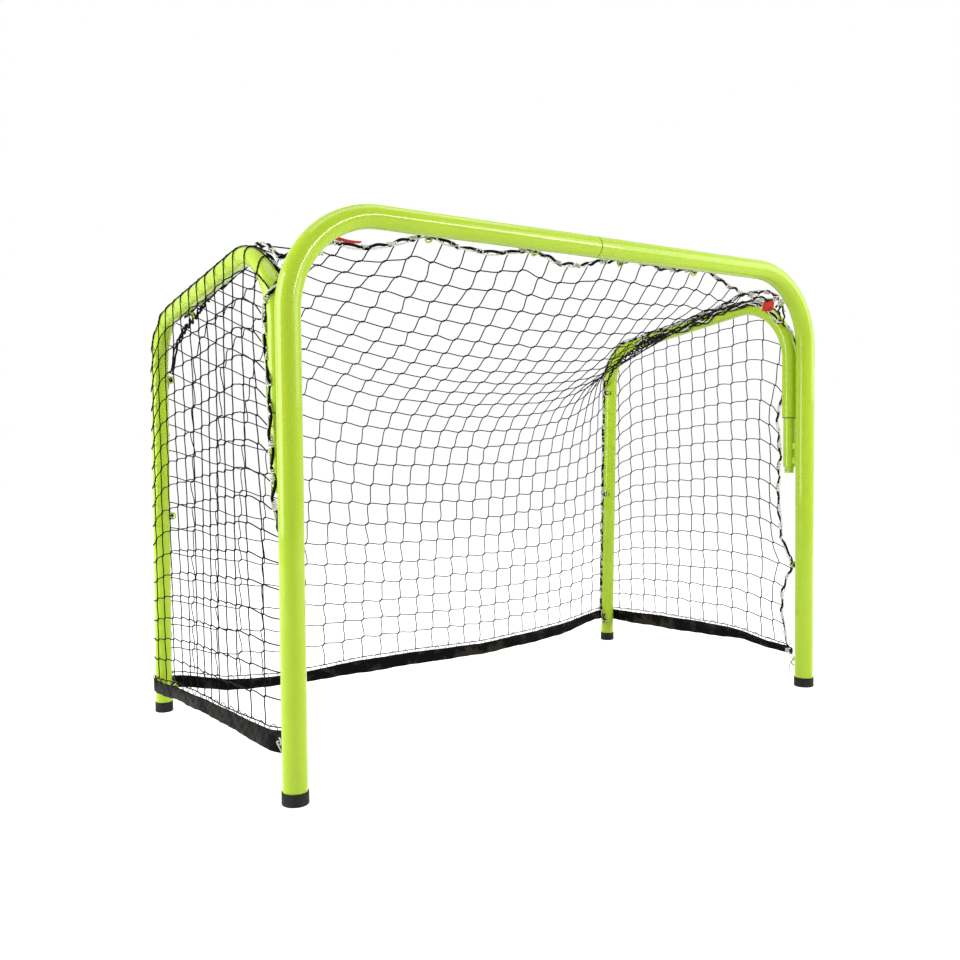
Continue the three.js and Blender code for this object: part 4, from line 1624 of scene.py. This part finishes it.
@dataclass
class Hems(SidePart):
    """Half of the cloth band along the foot of the net: one side, wrapped round its rear leg to the back.

    The band's path runs from a side's front end, along the side frame, round the outside of the rear
    leg and along the foot of the back net to mid width.
    """

    sheet: RoofSheet
    side: SideNet
    thickness: float = 0.0022
    join: float = 0.590
    back_start: float = 0.592
    stitch_pitch: float = 0.0062
    stitch_length: float = 0.0040
    stitch_rows: Pair = (0.0035, 0.0075)
    stitch_radius: float = 0.00035
    loop_pitch: float = 0.034
    loop_rise: float = 0.0115
    loop_radius: float = 0.0007

    def path(self) -> Array:
        """The band's path in plan, as (X, Y) stations from the front end to mid width.

        Returns:
            The stations.
        """
        lay = self.layout
        behind = np.linspace(SIDE_BAND[self.hand][0, 0], lay.leg_corner[0], 60)
        run = together(lay.post_x + lay.hem_outside - self.side.tuck(behind), lay.hinge_y + behind)
        turn = np.radians(np.linspace(4.0, 96.0, 20))
        arc = [lay.post_x, lay.rear_y] + lay.hem_outside * together(np.cos(turn), np.sin(turn))
        across = np.linspace(self.back_start, 0.0, 80)
        foot = self.sheet.plain(across / lay.net_half, np.ones_like(across))
        return np.vstack([run, arc, together(across, foot[:, 1])]) * [self.sign, 1.0]

    def edges(self, line: Array, place: Array) -> tuple[Array, Array]:
        """The band's lower and upper edge along its path, with a small wave.

        Args:
            line: The path's stations.
            place: The distance along it.

        Returns:
            The heights of the two edges.
        """
        side = SIDE_BAND[self.hand] - [SIDE_BAND[self.hand][0, 0], 0.0, 0.0]
        back = BACK_BAND[BACK_BAND[:, 0] * self.sign > -0.001]
        back = back[np.argsort(-np.abs(back[:, 0]))]
        turned = place > side[-1, 0] + 0.03
        back[:, 0] = np.interp(-np.abs(back[:, 0]), -np.abs(line[turned, 0]), place[turned])
        level = read_at(np.array([0.0]), BACK_BAND[:, 0], BACK_BAND[:, 1:])
        table = np.vstack([side, back[1:], np.column_stack([place[-1:], level])])
        kernel = np.hanning(15) / np.hanning(15).sum()
        rough = read_at(place, table[:, 0], table[:, 1:]).T
        low, high = (np.convolve(np.pad(edge, 7, mode="edge"), kernel, "valid") for edge in rough)
        wave = 0.0008 * np.sin(place * 43.0 + self.sign) + 0.0004 * np.sin(place * 137.0)
        wave = wave * np.clip((place[-1] - place) / 0.05, 0.0, 1.0)
        return low + wave, high + 0.6 * wave

    def build(self) -> None:
        """Builds the side band and half the back band, each with its threads."""
        plan = self.path()
        line = even_stations(np.column_stack([plan, np.zeros(len(plan))]), 0.004)
        place = run_length(line)
        low, high = self.edges(line, place)
        line[:, 2] = (low + high) / 2.0
        cut = int(np.argmax((np.abs(line[:, 0]) < self.join) & (place > 0.5)))
        for part, span in (("side", slice(0, cut + 1)), ("back", slice(cut, None))):
            run = BandRun(part, line, place, (high - low) / 2.0, span)
            pieces = [self.band(run), self.stitches(run), self.loops(run)]
            for piece in pieces:
                if part == "side":
                    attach(piece, self.body)
                else:
                    self.sheet.follow(piece, self.hand)
            rests = [f"side_frame_{self.word}"]

    def band(self, run: BandRun) -> Piece:
        """The cloth: a doubled section with creases.

        The section is read as (share up, share outwards), each from -1 to 1. The creases are a sum
        of sines along and across the band, stronger away from the leg.

        Args:
            run: The length of band.

        Returns:
            The band.
        """
        face = np.linspace(-0.93, 0.93, 13)
        outer, fold = together(face, 1.0), np.array([[1.0, 0.55], [1.0, -0.55]])
        up, out = np.vstack([outer, fold, -outer, -fold]).T
        place = run.place[:, None]
        crease = (
            0.45 * np.sin(place * 57.0 + up * 1.3)
            + 0.35 * np.sin(place * 131.0 - up * 2.1 + 1.0)
            + 0.30 * np.sin(place * 283.0 + up * 3.7 + 2.0)
        )
        near_leg = np.exp(-(((place - 0.64) / 0.05) ** 2))
        sway = 0.0011 * crease * (1.0 - 0.85 * near_leg) * np.cos(up * 1.1)
        sections = together(up * run.half[:, None], out * self.thickness / 2.0 + sway)
        lines = [values[run.span] for values in (run.line, *run.ways, sections)]
        draft = Draft()
        draft.rings(*lines, girth=0.08)
        node = "back_hem" if run.part == "back" else f"side_hem_{self.word}"
        return draft.finish(f"hem_{run.part}_{self.word}", self.finishes.band, node=node)

    def stitches(self, run: BandRun) -> Piece:
        """Two rows of stitches along the band's upper edge, on both faces.

        Args:
            run: The length of band.

        Returns:
            The stitches.
        """
        start, end = run.ends
        share = np.linspace(0.0, 1.0, 4)
        starts = np.arange(start + 0.003, end - 0.006, self.stitch_pitch)
        spots = starts[:, None] + self.stitch_length * share
        centre, up, out, half = run.at(spots)
        arch = 0.0005 * np.sin(math.pi * share)
        draft = Draft()
        for face in (-1.0, 1.0):
            for below in self.stitch_rows:
                proud = face * (self.thickness / 2.0 + 0.0001 + arch)
                cords = centre + up * (half - below)[..., None] + out * proud[:, None]
                draft.cords(cords, UPRIGHT, self.stitch_radius, 5)
        return draft.finish(f"hem_stitches_{run.part}_{self.word}", self.finishes.stitching)

    def loops(self, run: BandRun) -> Piece:
        """The thread that lashes the net's last row to the band: an arch every 34 mm.

        Args:
            run: The length of band.

        Returns:
            The thread.
        """
        start, end = run.ends
        spots = np.arange(start + 0.002, end - 0.002, 0.0015)
        centre, up, out, half = run.at(spots)
        turn = FULL_TURN * (spots + 0.004 * np.sin(spots * 40.0)) / self.loop_pitch
        rise = half - 0.003 + self.loop_rise * np.clip(np.sin(turn), 0.0, 1.0) ** 0.6
        away = (self.thickness / 2.0 + 0.0008) * np.cos(turn)
        path = centre + up * rise[:, None] + out * away[:, None]
        draft = Draft()
        draft.cords(path, run.ways[1][0] + np.array([0.1, 0.13, 0.2]), self.loop_radius, 6)
        return draft.finish(f"hem_loops_{run.part}_{self.word}", self.finishes.twine)


@dataclass
class Fittings(SidePart):
    """What the hem's front end is tied with: a grommet and a short cord to the post's lower eye."""

    def build(self) -> None:
        """Builds one side's grommet and tie."""
        lay, sign = self.layout, self.sign
        ahead, height = (-0.006, 0.0905) if self.hand is Hand.LEFT else (0.0075, 0.0695)
        across = lay.post_x + lay.hem_outside - float(SideNet.tuck(np.array(ahead)))
        centre = np.array([sign * across, lay.hinge_y + ahead, height])
        turn = np.radians(np.linspace(0.0, 180.0, 9))
        bulge = together(0.0053 - 0.0018 * np.cos(turn), 0.0012 + 0.0009 * np.sin(turn))
        profile = np.vstack([bulge, bulge[::-1] * [1.0, -1.0]])[::-1]
        line = centre + profile[:, 1:] * np.array([sign, 0.0, 0.0])
        draft = Draft()
        draft.rings(line, (0.0, sign, 0.0), UPRIGHT, circle(profile[:, 0], 32), closed=True)
        draft.finish(f"grommet_{self.word}", self.finishes.steel, self.body, f"hem_grommet_{self.word}")
        self.tie(centre)

    def tie(self, centre: Array) -> None:
        """A cord through the grommet and the eye, crossed once, with a knot and two ends.

        Args:
            centre: The grommet's centre.
        """
        mirror = np.array([self.sign, 1.0, 1.0])
        eye = self.layout.post_eye(self.hand, 0.0558, 0.0067)
        half = (eye + centre) / 2
        plan = (
            (eye, (-0.004, 0.001, 0.0005)),
            (eye, (0.004, 0.002, 0.0025)),
            (half, (0.003, 0.002, 0.001)),
            (centre, (0.0045, 0.001, -0.001)),
            (centre, (0.001, 0.0, 0.0)),
            (centre, (-0.0045, 0.001, -0.001)),
            (half, (-0.004, 0.001, -0.004)),
            (eye, (0.001, 0.0035, 0.002)),
            (eye, (-0.003, -0.001, 0.003)),
            (eye, (-0.006, 0.003, -0.004)),
            (eye, (-0.007, 0.007, -0.016)),
            (eye, (-0.006, 0.009, -0.028)),
        )
        path = smooth_through([spot + mirror * move for spot, move in plan], 10)
        draft = Draft()
        draft.cords(even_stations(path, 0.0012), (0.31, 0.22, 0.92), 0.0013, 9)
        made = draft.finish(f"tie_{self.word}", self.finishes.lacing, node=f"hem_tie_{self.word}")
        self.body
        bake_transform(made)


class CordPair:
    """Two drafts: one for black cord and one for white."""

    def __init__(self) -> None:
        """Starts both empty."""
        self.black, self.white = Draft(), Draft()

    def finish(self, finishes: Finishes, names: tuple[str, str], body: str = "") -> list[Piece]:
        """Makes both pieces, the black one first, on the one body that they ride on, if they do."""
        coats = ((self.black, finishes.selvedge), (self.white, finishes.lacing))
        return [draft.finish(name, coat, body) for name, (draft, coat) in zip(names, coats)]


@dataclass
class Edging(SidePart):
    """The net's edge cords, and the white cord that is wound round them and through the eyes."""

    frame: SideFrame
    sheet: RoofSheet
    side: SideNet
    edge_radius: float = 0.0026
    lace_radius: float = 0.0016
    coil: float = 0.0037
    turn: float = 0.046
    sway: float = 0.0018
    skew: Point = (0.13, 0.21, 0.97)
    rail_skew: Point = (0.93, 0.2, 0.3)
    eye_skew: Point = (0.31, 0.42, 0.85)
    corner_skew: Point = (0.2, 0.3, 0.93)

    def cord(self, draft: Draft, path: Array, seed: int) -> None:
        """Adds an edge cord that wanders a little round its path, by a few sines.

        Args:
            draft: Where it is added.
            path: The path.
            seed: The seed of its wander.
        """
        line = even_stations(path, 0.004)
        place = run_length(line)
        chance = np.random.default_rng(seed).uniform(0.0, FULL_TURN, 4)
        first, second = frames(line, self.skew)
        one = 1.6 * (2.0 * np.abs(np.sin(place * 68.0 + chance[0])) - 1.0) + 0.4 * np.sin(place * 61.0)
        two = np.sin(place * 119.0 + chance[2]) + 0.6 * np.sin(place * 47.0 + chance[3])
        line = line + self.sway * (one[:, None] * first + two[:, None] * second)
        draft.cords(line, self.skew, self.edge_radius, 8)

    def wound(self, draft: Draft, path: Array, seed: int) -> None:
        """Adds a cord wound round a path: a circle of the coil's radius, turning by turns.

        In each stretch the cord makes five close turns that hide the edge, then runs beside it.

        Args:
            draft: Where it is added.
            path: The path.
            seed: The seed of its uneven pitch.
        """
        line = even_stations(path, 0.0011)
        place = run_length(line)
        chance = np.random.default_rng(seed).uniform(0.0, FULL_TURN, 3)
        cell = place / self.turn + 0.12 * np.sin(place * 23.0 + chance[0]) + chance[1]
        share = cell - np.floor(cell)
        angle = FULL_TURN * 5.0 * (np.floor(cell) + np.clip(share / 0.38, 0.0, 1.0)) + chance[2]
        first, second = frames(line, self.skew)
        wide = self.coil * (1.0 + 0.12 * np.sin(place * 71.0 + chance[1]))[:, None]
        line = line + wide * (np.cos(angle)[:, None] * first + np.sin(angle)[:, None] * second)
        draft.cords(line, self.skew, self.lace_radius, 6)

    def pair(self, name: str, path: Array, seed: int, body: str = "") -> list[Piece]:
        """Builds an edge cord and the white cord round it.

        Args:
            name: The name's end.
            path: The edge.
            seed: The seed.
            body: The one body that they ride on, if they do.

        Returns:
            The two objects.
        """
        cords = CordPair()
        self.cord(cords.black, path, seed)
        self.wound(cords.white, path, seed + 50)
        return cords.finish(self.finishes, (f"edge_{name}", f"lace_{name}"), body)

    def build(self) -> None:
        """Builds the edges of the roof, of its side and of the side net, and ties them."""
        for piece in self.pair(f"front_{self.word}", self.front_path(), 3 + self.sign):
            self.sheet.follow(piece, self.hand, True)
        self.pair(f"rail_{self.word}", self.rail_path(), 13 + self.sign, self.body)
        self.pair(f"mouth_{self.word}", self.mouth_path(), 23 + self.sign, self.body)
        self.pair(f"rim_{self.word}", self.rim_path(), 33 + self.sign, self.body)
        self.gather()
        self.bunch()
        self.corner()
        self.lash_side()

    def lash_bar(self) -> None:
        """Ties the roof's whole front edge to the eyes below the crossbar."""
        front = self.frame.front
        eyes = [front.bar_eye(place, self.layout.eye_reach) for place in front.bar_places]
        edges = [self.sheet.front_spot(np.array(place)) for place in front.bar_places]
        self.lash("bar", zip(eyes, edges), 91, ROOT)

    def front_path(self) -> Array:
        """The front edge from mid width to the side frame's bend.

        Returns:
            The edge.
        """
        middle = self.sheet.columns / 2.0
        column = np.linspace(middle, middle + self.sign * middle, 120)
        return self.sheet.point(column, np.zeros_like(column))

    def rail_path(self) -> Array:
        """The roof's edge along the rail and down the rear leg."""
        row = np.linspace(0.0, self.sheet.rows, 240)
        return self.sheet.point(np.full_like(row, max(self.sign, 0) * self.sheet.columns), row)

    def mouth_path(self) -> Array:
        """The side net's free front edge."""
        row = np.linspace(-0.4, 17.5, 220)
        return self.side.surface(np.zeros_like(row), row)

    def rim_path(self) -> Array:
        """The side net's edge, where it ends on the inner side of the rail and the rear leg."""
        spot, _, outward = self.side.line.at(np.linspace(1.02, self.side.line.length - 0.28, 260))
        return self.side.wrapped(spot + outward * self.side.wrap)

    def gather(self) -> None:
        """The net's bunched edge, drawn straight across the inside of the rear bend in a zigzag."""
        lay, chance, count = self.layout, np.random.default_rng(71 + self.sign), 23
        ends = np.array([(0.372, 0.829), (0.440, 0.806), (0.502, 0.788), (0.552, 0.764), (0.598, 0.703)])
        share = np.linspace(0.0, 1.0, count)
        spots = read_at(share, np.linspace(0.0, 1.0, len(ends)), ends)
        zigzag = np.where(np.arange(count) % 2, 1.0, -1.0)
        thin = np.interp(share, [0.0, 0.6, 1.0], [1.0, 1.0, 0.45])
        for strand, out in enumerate((-0.0015, 0.0020)):
            swing = (0.0048 * zigzag * (1.0 - 2.0 * strand) + chance.normal(0.0, 0.0012, count)) * thin
            across = lay.post_x - 0.0235 + out + chance.normal(0.0, 0.0012, count)
            behind = lay.hinge_y + spots[:, 0] + 0.5 * swing
            path = together(self.sign * across, behind, spots[:, 1] + swing)
            draft = Draft()
            line = even_stations(smooth_through(path, 6), 0.0025)
            draft.cords(line, self.rail_skew, 0.0020 - 0.0004 * strand, 8)
            draft.finish(f"edge_bend_{strand}_{self.word}", self.finishes.selvedge, self.body)

    def bunch(self) -> None:
        """The slack net drawn together on the inner side of the rail: strands that cross each other.

        A strand's turn round the tube rises from 138 to 203 degrees, with a sine of its own on top.
        """
        lay, chance, cords = self.layout, np.random.default_rng(101 + self.sign), CordPair()
        distance = np.linspace(1.09, 1.50, 220)
        spot, _, outward = self.side.line.at(distance)
        rise = np.interp(distance, [1.09, 1.17, 1.27, 1.50], [138.0, 168.0, 196.0, 203.0])
        for strand in range(5):
            phase, pitch, sway = chance.uniform((0.0, 0.065, 9.0), (FULL_TURN, 0.115, 18.0))
            swing = np.sin(FULL_TURN * distance / pitch + phase + 0.9 * np.sin(31.0 * distance + phase))
            turn = np.radians(rise + 6.0 * (strand - 2.0) + sway * swing)
            out = 0.0180 + 0.0006 * strand
            flat = spot + outward * (out * np.sin(turn))[:, None]
            across = self.sign * (lay.post_x + out * np.cos(turn))
            path = together(across, lay.hinge_y + flat[:, 0], flat[:, 1])
            draft, radius = (cords.white, 0.0017) if strand == 2 else (cords.black, 0.0015)
            draft.cords(path, self.rail_skew, radius, 7)
        names = (f"edge_bunch_{self.word}", f"lace_bunch_{self.word}")
        cords.finish(self.finishes, names, self.body)

    def lashing(self, cords: CordPair, at: Array, towards: Array, seed: int) -> None:
        """Adds two tangles that tie the edge to an eye: uneven loops round the line between the two.

        Args:
            cords: Where they are added.
            at: The eye's centre.
            towards: The edge's place.
            seed: The seed of the loops.
        """
        chance, turns = np.random.default_rng(seed), 3.2
        share = np.linspace(0.0, 1.0, int(turns * 14))
        axis = unit(towards - at)
        first = unit(np.cross(axis, self.eye_skew))
        second = np.cross(axis, first)
        plan = ((cords.black, 0.0016, 0.0048, 0.0, 1.0), (cords.white, 0.0012, 0.0056, 2.1, 2.0))
        for draft, radius, size, start, swings in plan:
            angle = FULL_TURN * turns * share + start + 0.5 * np.sin(share * 9.0 + chance.uniform(0, 6))
            wide = size * (1.0 + 0.3 * np.sin(share * 17.0 + chance.uniform(0, 6)))
            reach = 0.5 - 0.5 * np.cos(share * math.pi * swings)
            spot = at + (towards - at) * (0.1 + 0.9 * reach)[:, None]
            turned = np.cos(angle)[:, None] * first + np.sin(angle)[:, None] * second
            draft.cords(spot + wide[:, None] * turned, self.eye_skew, radius, 7)

    def lash(self, name: str, spots: Iterable[Sequence[Array]], seed: int, body: str = "") -> list[Piece]:
        """Builds the lashings of several eyes as one black piece and one white.

        Args:
            name: The name's end.
            spots: Each eye's centre and the edge's place.
            seed: The seed.
            body: The one body that they ride on, if they do.

        Returns:
            The two objects.
        """
        cords = CordPair()
        for index, (at, towards) in enumerate(spots):
            self.lashing(cords, at, towards, seed + index)
        return cords.finish(self.finishes, (f"lash_net_{name}", f"lash_cord_{name}"), body)

    def lash_side(self) -> None:
        """Ties the roof's edge to the side frame's eyes, and the mouth's edge to the upper post eye."""
        lay, edge = self.layout, self.rail_path()
        eyes = [self.frame.eye_centre(place, lay.eye_reach) for place in self.frame.eye_distances]
        spots = [(eye, nearest(edge, eye)) for eye in eyes]
        self.lash(f"side_{self.word}", spots, 83 + self.sign, self.body)
        eye = lay.post_eye(self.hand, lay.post_eye_z[1], lay.eye_reach)
        tied = nearest(self.mouth_path(), eye)
        for piece in self.lash(f"post_{self.word}", [(eye, tied)], 95 + self.sign):
            self.body
            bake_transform(piece)

    def corner(self) -> None:
        """The bundle that ties the net's front corner to the eye in the post's bend."""
        mirror, cords = np.array([self.sign, 1.0, 1.0]), CordPair()
        eye, far = mirror * [0.558, -0.309, 0.8595], mirror * [0.626, -0.280, 0.835]
        chance = np.random.default_rng(61 + self.sign)
        ends = ((0.6035, -0.281, 0.818), (0.6035, -0.270, 0.838), (0.6035, -0.262, 0.857))
        for index, end in enumerate((*ends, (0.600, -0.285, 0.842))):
            share = np.linspace(0.0, 1.0, 6)[:, None]
            wander = chance.normal(0.0, 0.0032, (6, 3)) * np.sin(math.pi * share)
            start = mirror * end
            path = even_stations(smooth_through(start + (eye - start) * share + wander, 8), 0.002)
            draft, radius = (cords.white, 0.0014) if index == 3 else (cords.black, 0.0019)
            draft.cords(path, self.corner_skew, radius, 8)
        turn = np.linspace(0.0, 3.5 * FULL_TURN, 90)
        size = 0.0052 + 0.0012 * np.sin(turn * 0.7)
        knot = together(np.cos(turn), np.sin(turn) * 0.8, np.sin(turn * 1.3 + 1.0))
        cords.white.cords(eye + size[:, None] * knot, self.corner_skew, 0.0014, 8)
        for made in cords.finish(self.finishes, (f"corner_net_{self.word}", f"corner_lace_{self.word}")):
            self.body
            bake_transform(made)

    def tag(self) -> None:
        """A red cloth tag on the front edge beside the corner: a thin bowed plate.

        The right one hangs down. The left one lies along the edge, turned flat by the lacing.
        """
        plan = {
            Hand.LEFT: (0.480, 0.066, (0.0, 0.030, 0.0045), 0.009),
            Hand.RIGHT: (0.546, 0.040, (0.0, 0.010, -0.030), 0.005),
        }
        start, width, fall, rise = plan[self.hand]
        share = np.linspace(0.0, 1.0, 13)
        top = self.sheet.front_spot(self.sign * (start + width * share))
        line = top + np.array(fall) / 2.0 + [0.0, -0.002, rise]
        line[:, 1] += 0.002 * np.sin(share * 5.0)
        face = np.linspace(-0.94, 0.94, 9)
        outer, inner = (together(0.0157 * face, side + 0.0025 * (1 - face**2)) for side in (0.0007, -0.0007))
        draft = Draft()
        draft.rings(line, *frames(line, fall), np.vstack([outer, inner[::-1]]), girth=0.07)
        made = draft.finish(f"tag_{self.word}", self.finishes.tag, node=f"corner_tag_{self.word}")
        self.sheet.follow(made, self.hand, True)
        f"edge_front_{self.word}"


# Stage


@dataclass
class Stage:
    """The camera, the light and the pale floor."""

    lens: float = 37.18
    eye: Point = (-1.24614, -1.73835, 0.56050)
    yaw: float = 34.7598
    pitch: float = -2.2880
    roll: float = -0.4778
    reach: float = 14.0

    def build(self) -> None:
        """Builds the stage."""
        made = [self.camera(), self.floor(), *self.lamps()]
        self.world()
        bpy.context.scene.view_settings.view_transform = "Standard"

    def camera(self) -> Piece:
        """The camera at the photograph's place: yaw right of +Y, then pitch, then roll.

        Returns:
            The camera.
        """
        yaw, pitch, roll = (math.radians(value) for value in (self.yaw, self.pitch, self.roll))
        forward = Vector((math.sin(yaw) * math.cos(pitch), math.cos(yaw) * math.cos(pitch), math.sin(pitch)))
        level = Vector((math.cos(yaw), -math.sin(yaw), 0.0))
        upright = level.cross(forward)
        right = math.cos(roll) * level + math.sin(roll) * upright
        up = math.cos(roll) * upright - math.sin(roll) * level
        data = bpy.data.cameras.new("photo_camera")
        data.lens, data.sensor_width, data.clip_start = self.lens, 36.0, 0.02
        made = add_object("photo_camera", data)
        turned = Matrix((right, up, -forward)).transposed().to_4x4()
        made.matrix_world = Matrix.Translation(self.eye) @ turned
        bpy.context.scene.camera = made
        return made

    def floor(self) -> Piece:
        """A wide pale floor that is white to the camera and keeps a faint shadow.

        Returns:
            The floor.
        """
        sheet = MaterialSheet("pale_floor")
        plain = sheet.node("ShaderNodeBsdfDiffuse", {"Color": (0.8, 0.8, 0.8, 1.0)})
        lit = sheet.node("ShaderNodeEmission", {"Color": WHITE, "Strength": 0.74})
        shadowed = sheet.node("ShaderNodeAddShader", {0: plain, 1: lit})
        mixed = sheet.node("ShaderNodeMixShader", {0: sheet.seen(), 1: plain, 2: shadowed})
        sheet.node("ShaderNodeOutputMaterial", {"Surface": mixed})
        mesh = bpy.data.meshes.new("pale_floor")
        signs = ((-1.0, -1.0), (1.0, -1.0), (1.0, 1.0), (-1.0, 1.0))
        mesh.from_pydata([(x * self.reach, y * self.reach, 0.0) for x, y in signs], [], [(0, 1, 2, 3)])
        mesh.materials.append(sheet.owner)
        return add_object("pale_floor", mesh)

    def lamps(self) -> list[Piece]:
        """Soft boxes: a long strip and a large one at the front right, and one left, above and behind.

        Returns:
            The lamps.
        """
        plan = (
            ("lamp_strip", (1.55, -3.35, 1.55), (-0.3, -0.3, 0.9), (1.9, 0.45), 52.0),
            ("lamp_left", (-3.2, 0.6, 1.3), (-0.5, -0.1, 0.5), (2.0, 2.4), 92.0),
            ("lamp_right", (2.9, -2.5, 1.9), (0.0, -0.2, 0.6), (2.6, 2.4), 58.0),
            ("lamp_overhead", (0.0, -0.4, 3.2), (0.0, 0.0, 0.3), (3.0, 1.2), 26.0),
            ("lamp_rear", (1.6, 3.0, 2.4), (0.0, 0.0, 0.5), (1.6, 2.0), 16.0),
        )
        made = []
        for name, place, target, size, power in plan:
            data = bpy.data.lights.new(name, "AREA")
            data.shape, data.energy = "RECTANGLE", power
            data.size, data.size_y = size
            lamp = add_object(name, data)
            turn = (Vector(target) - Vector(place)).to_track_quat("-Z", "Y")
            lamp.matrix_world = Matrix.Translation(place) @ turn.to_matrix().to_4x4()
            made.append(lamp)
        return made

    @staticmethod
    def world() -> None:
        """White to the camera and in reflections, and a soft grey light elsewhere."""
        sheet = MaterialSheet("pale_world", world=True)
        soft = sheet.node("ShaderNodeBackground", {"Color": WHITE, "Strength": 0.34})
        white = sheet.node("ShaderNodeBackground", {"Color": WHITE})
        mixed = sheet.node("ShaderNodeMixShader", {0: sheet.seen(), 1: soft, 2: white})
        sheet.node("ShaderNodeOutputWorld", {"Surface": mixed})
        bpy.context.scene.world = sheet.owner


# Building


def dress_kept(frame: dict, finishes: Finishes) -> None:
    """Gives the CAD pieces that stay, such as the bushes and pins, their finishes.

    Args:
        finishes: The goal's finishes.
    """
    steel = ["crossbar_sleeve", *(f"retaining_pin_{hand.word}" for hand in Hand)]
    nylon = [f"{name}_{hand.word}" for hand in Hand for name in ("leg_bush", "hinge_washer")]
    for names, coat in ((steel, finishes.steel), (nylon, finishes.nylon)):
        for name in names:
            slots = frame["nodes"][name].material_slots
            for slot in slots:
                slot.material = coat.material
            LOG.info("%s: %d material slots dressed", name, len(slots))


def main() -> None:
    """Builds the goal, its netting and the stage, in order."""
    logging.basicConfig(level=logging.INFO, format="%(message)s")
    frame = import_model()
    layout, finishes = shared = Layout(), Finishes()
    front = FrontFrame(*shared)
    front.build()
    cap = FootCap(*shared)
    sides = [SideFrame(*shared, hand, front) for hand in Hand]
    for side in sides:
        x = side.sign * layout.post_x
        cap.build(f"post_foot_cap_{side.word}", ROOT, layout.post_radius, (x, layout.front_y))
        cap.build(f"rear_foot_cap_{side.word}", side.body, layout.side_radius, (x, layout.rear_y))
        side.build()
    sheet = RoofSheet(*shared)
    sheet.build()
    nets = [SideNet(*shared, hand) for hand in Hand]
    for net in nets:
        net.build()
        Fittings(*shared, net.hand).build()
    for net in nets:
        Hems(*shared, net.hand, sheet, net).build()
    edgings = [Edging(*shared, side.hand, side, sheet, net) for side, net in zip(sides, nets)]
    for edging in edgings:
        edging.build()
    edgings[0].lash_bar()
    for edging in edgings:
        edging.tag()
    Stage().build()
    dress_kept(frame, finishes)


if __name__ == "__main__":
    main()
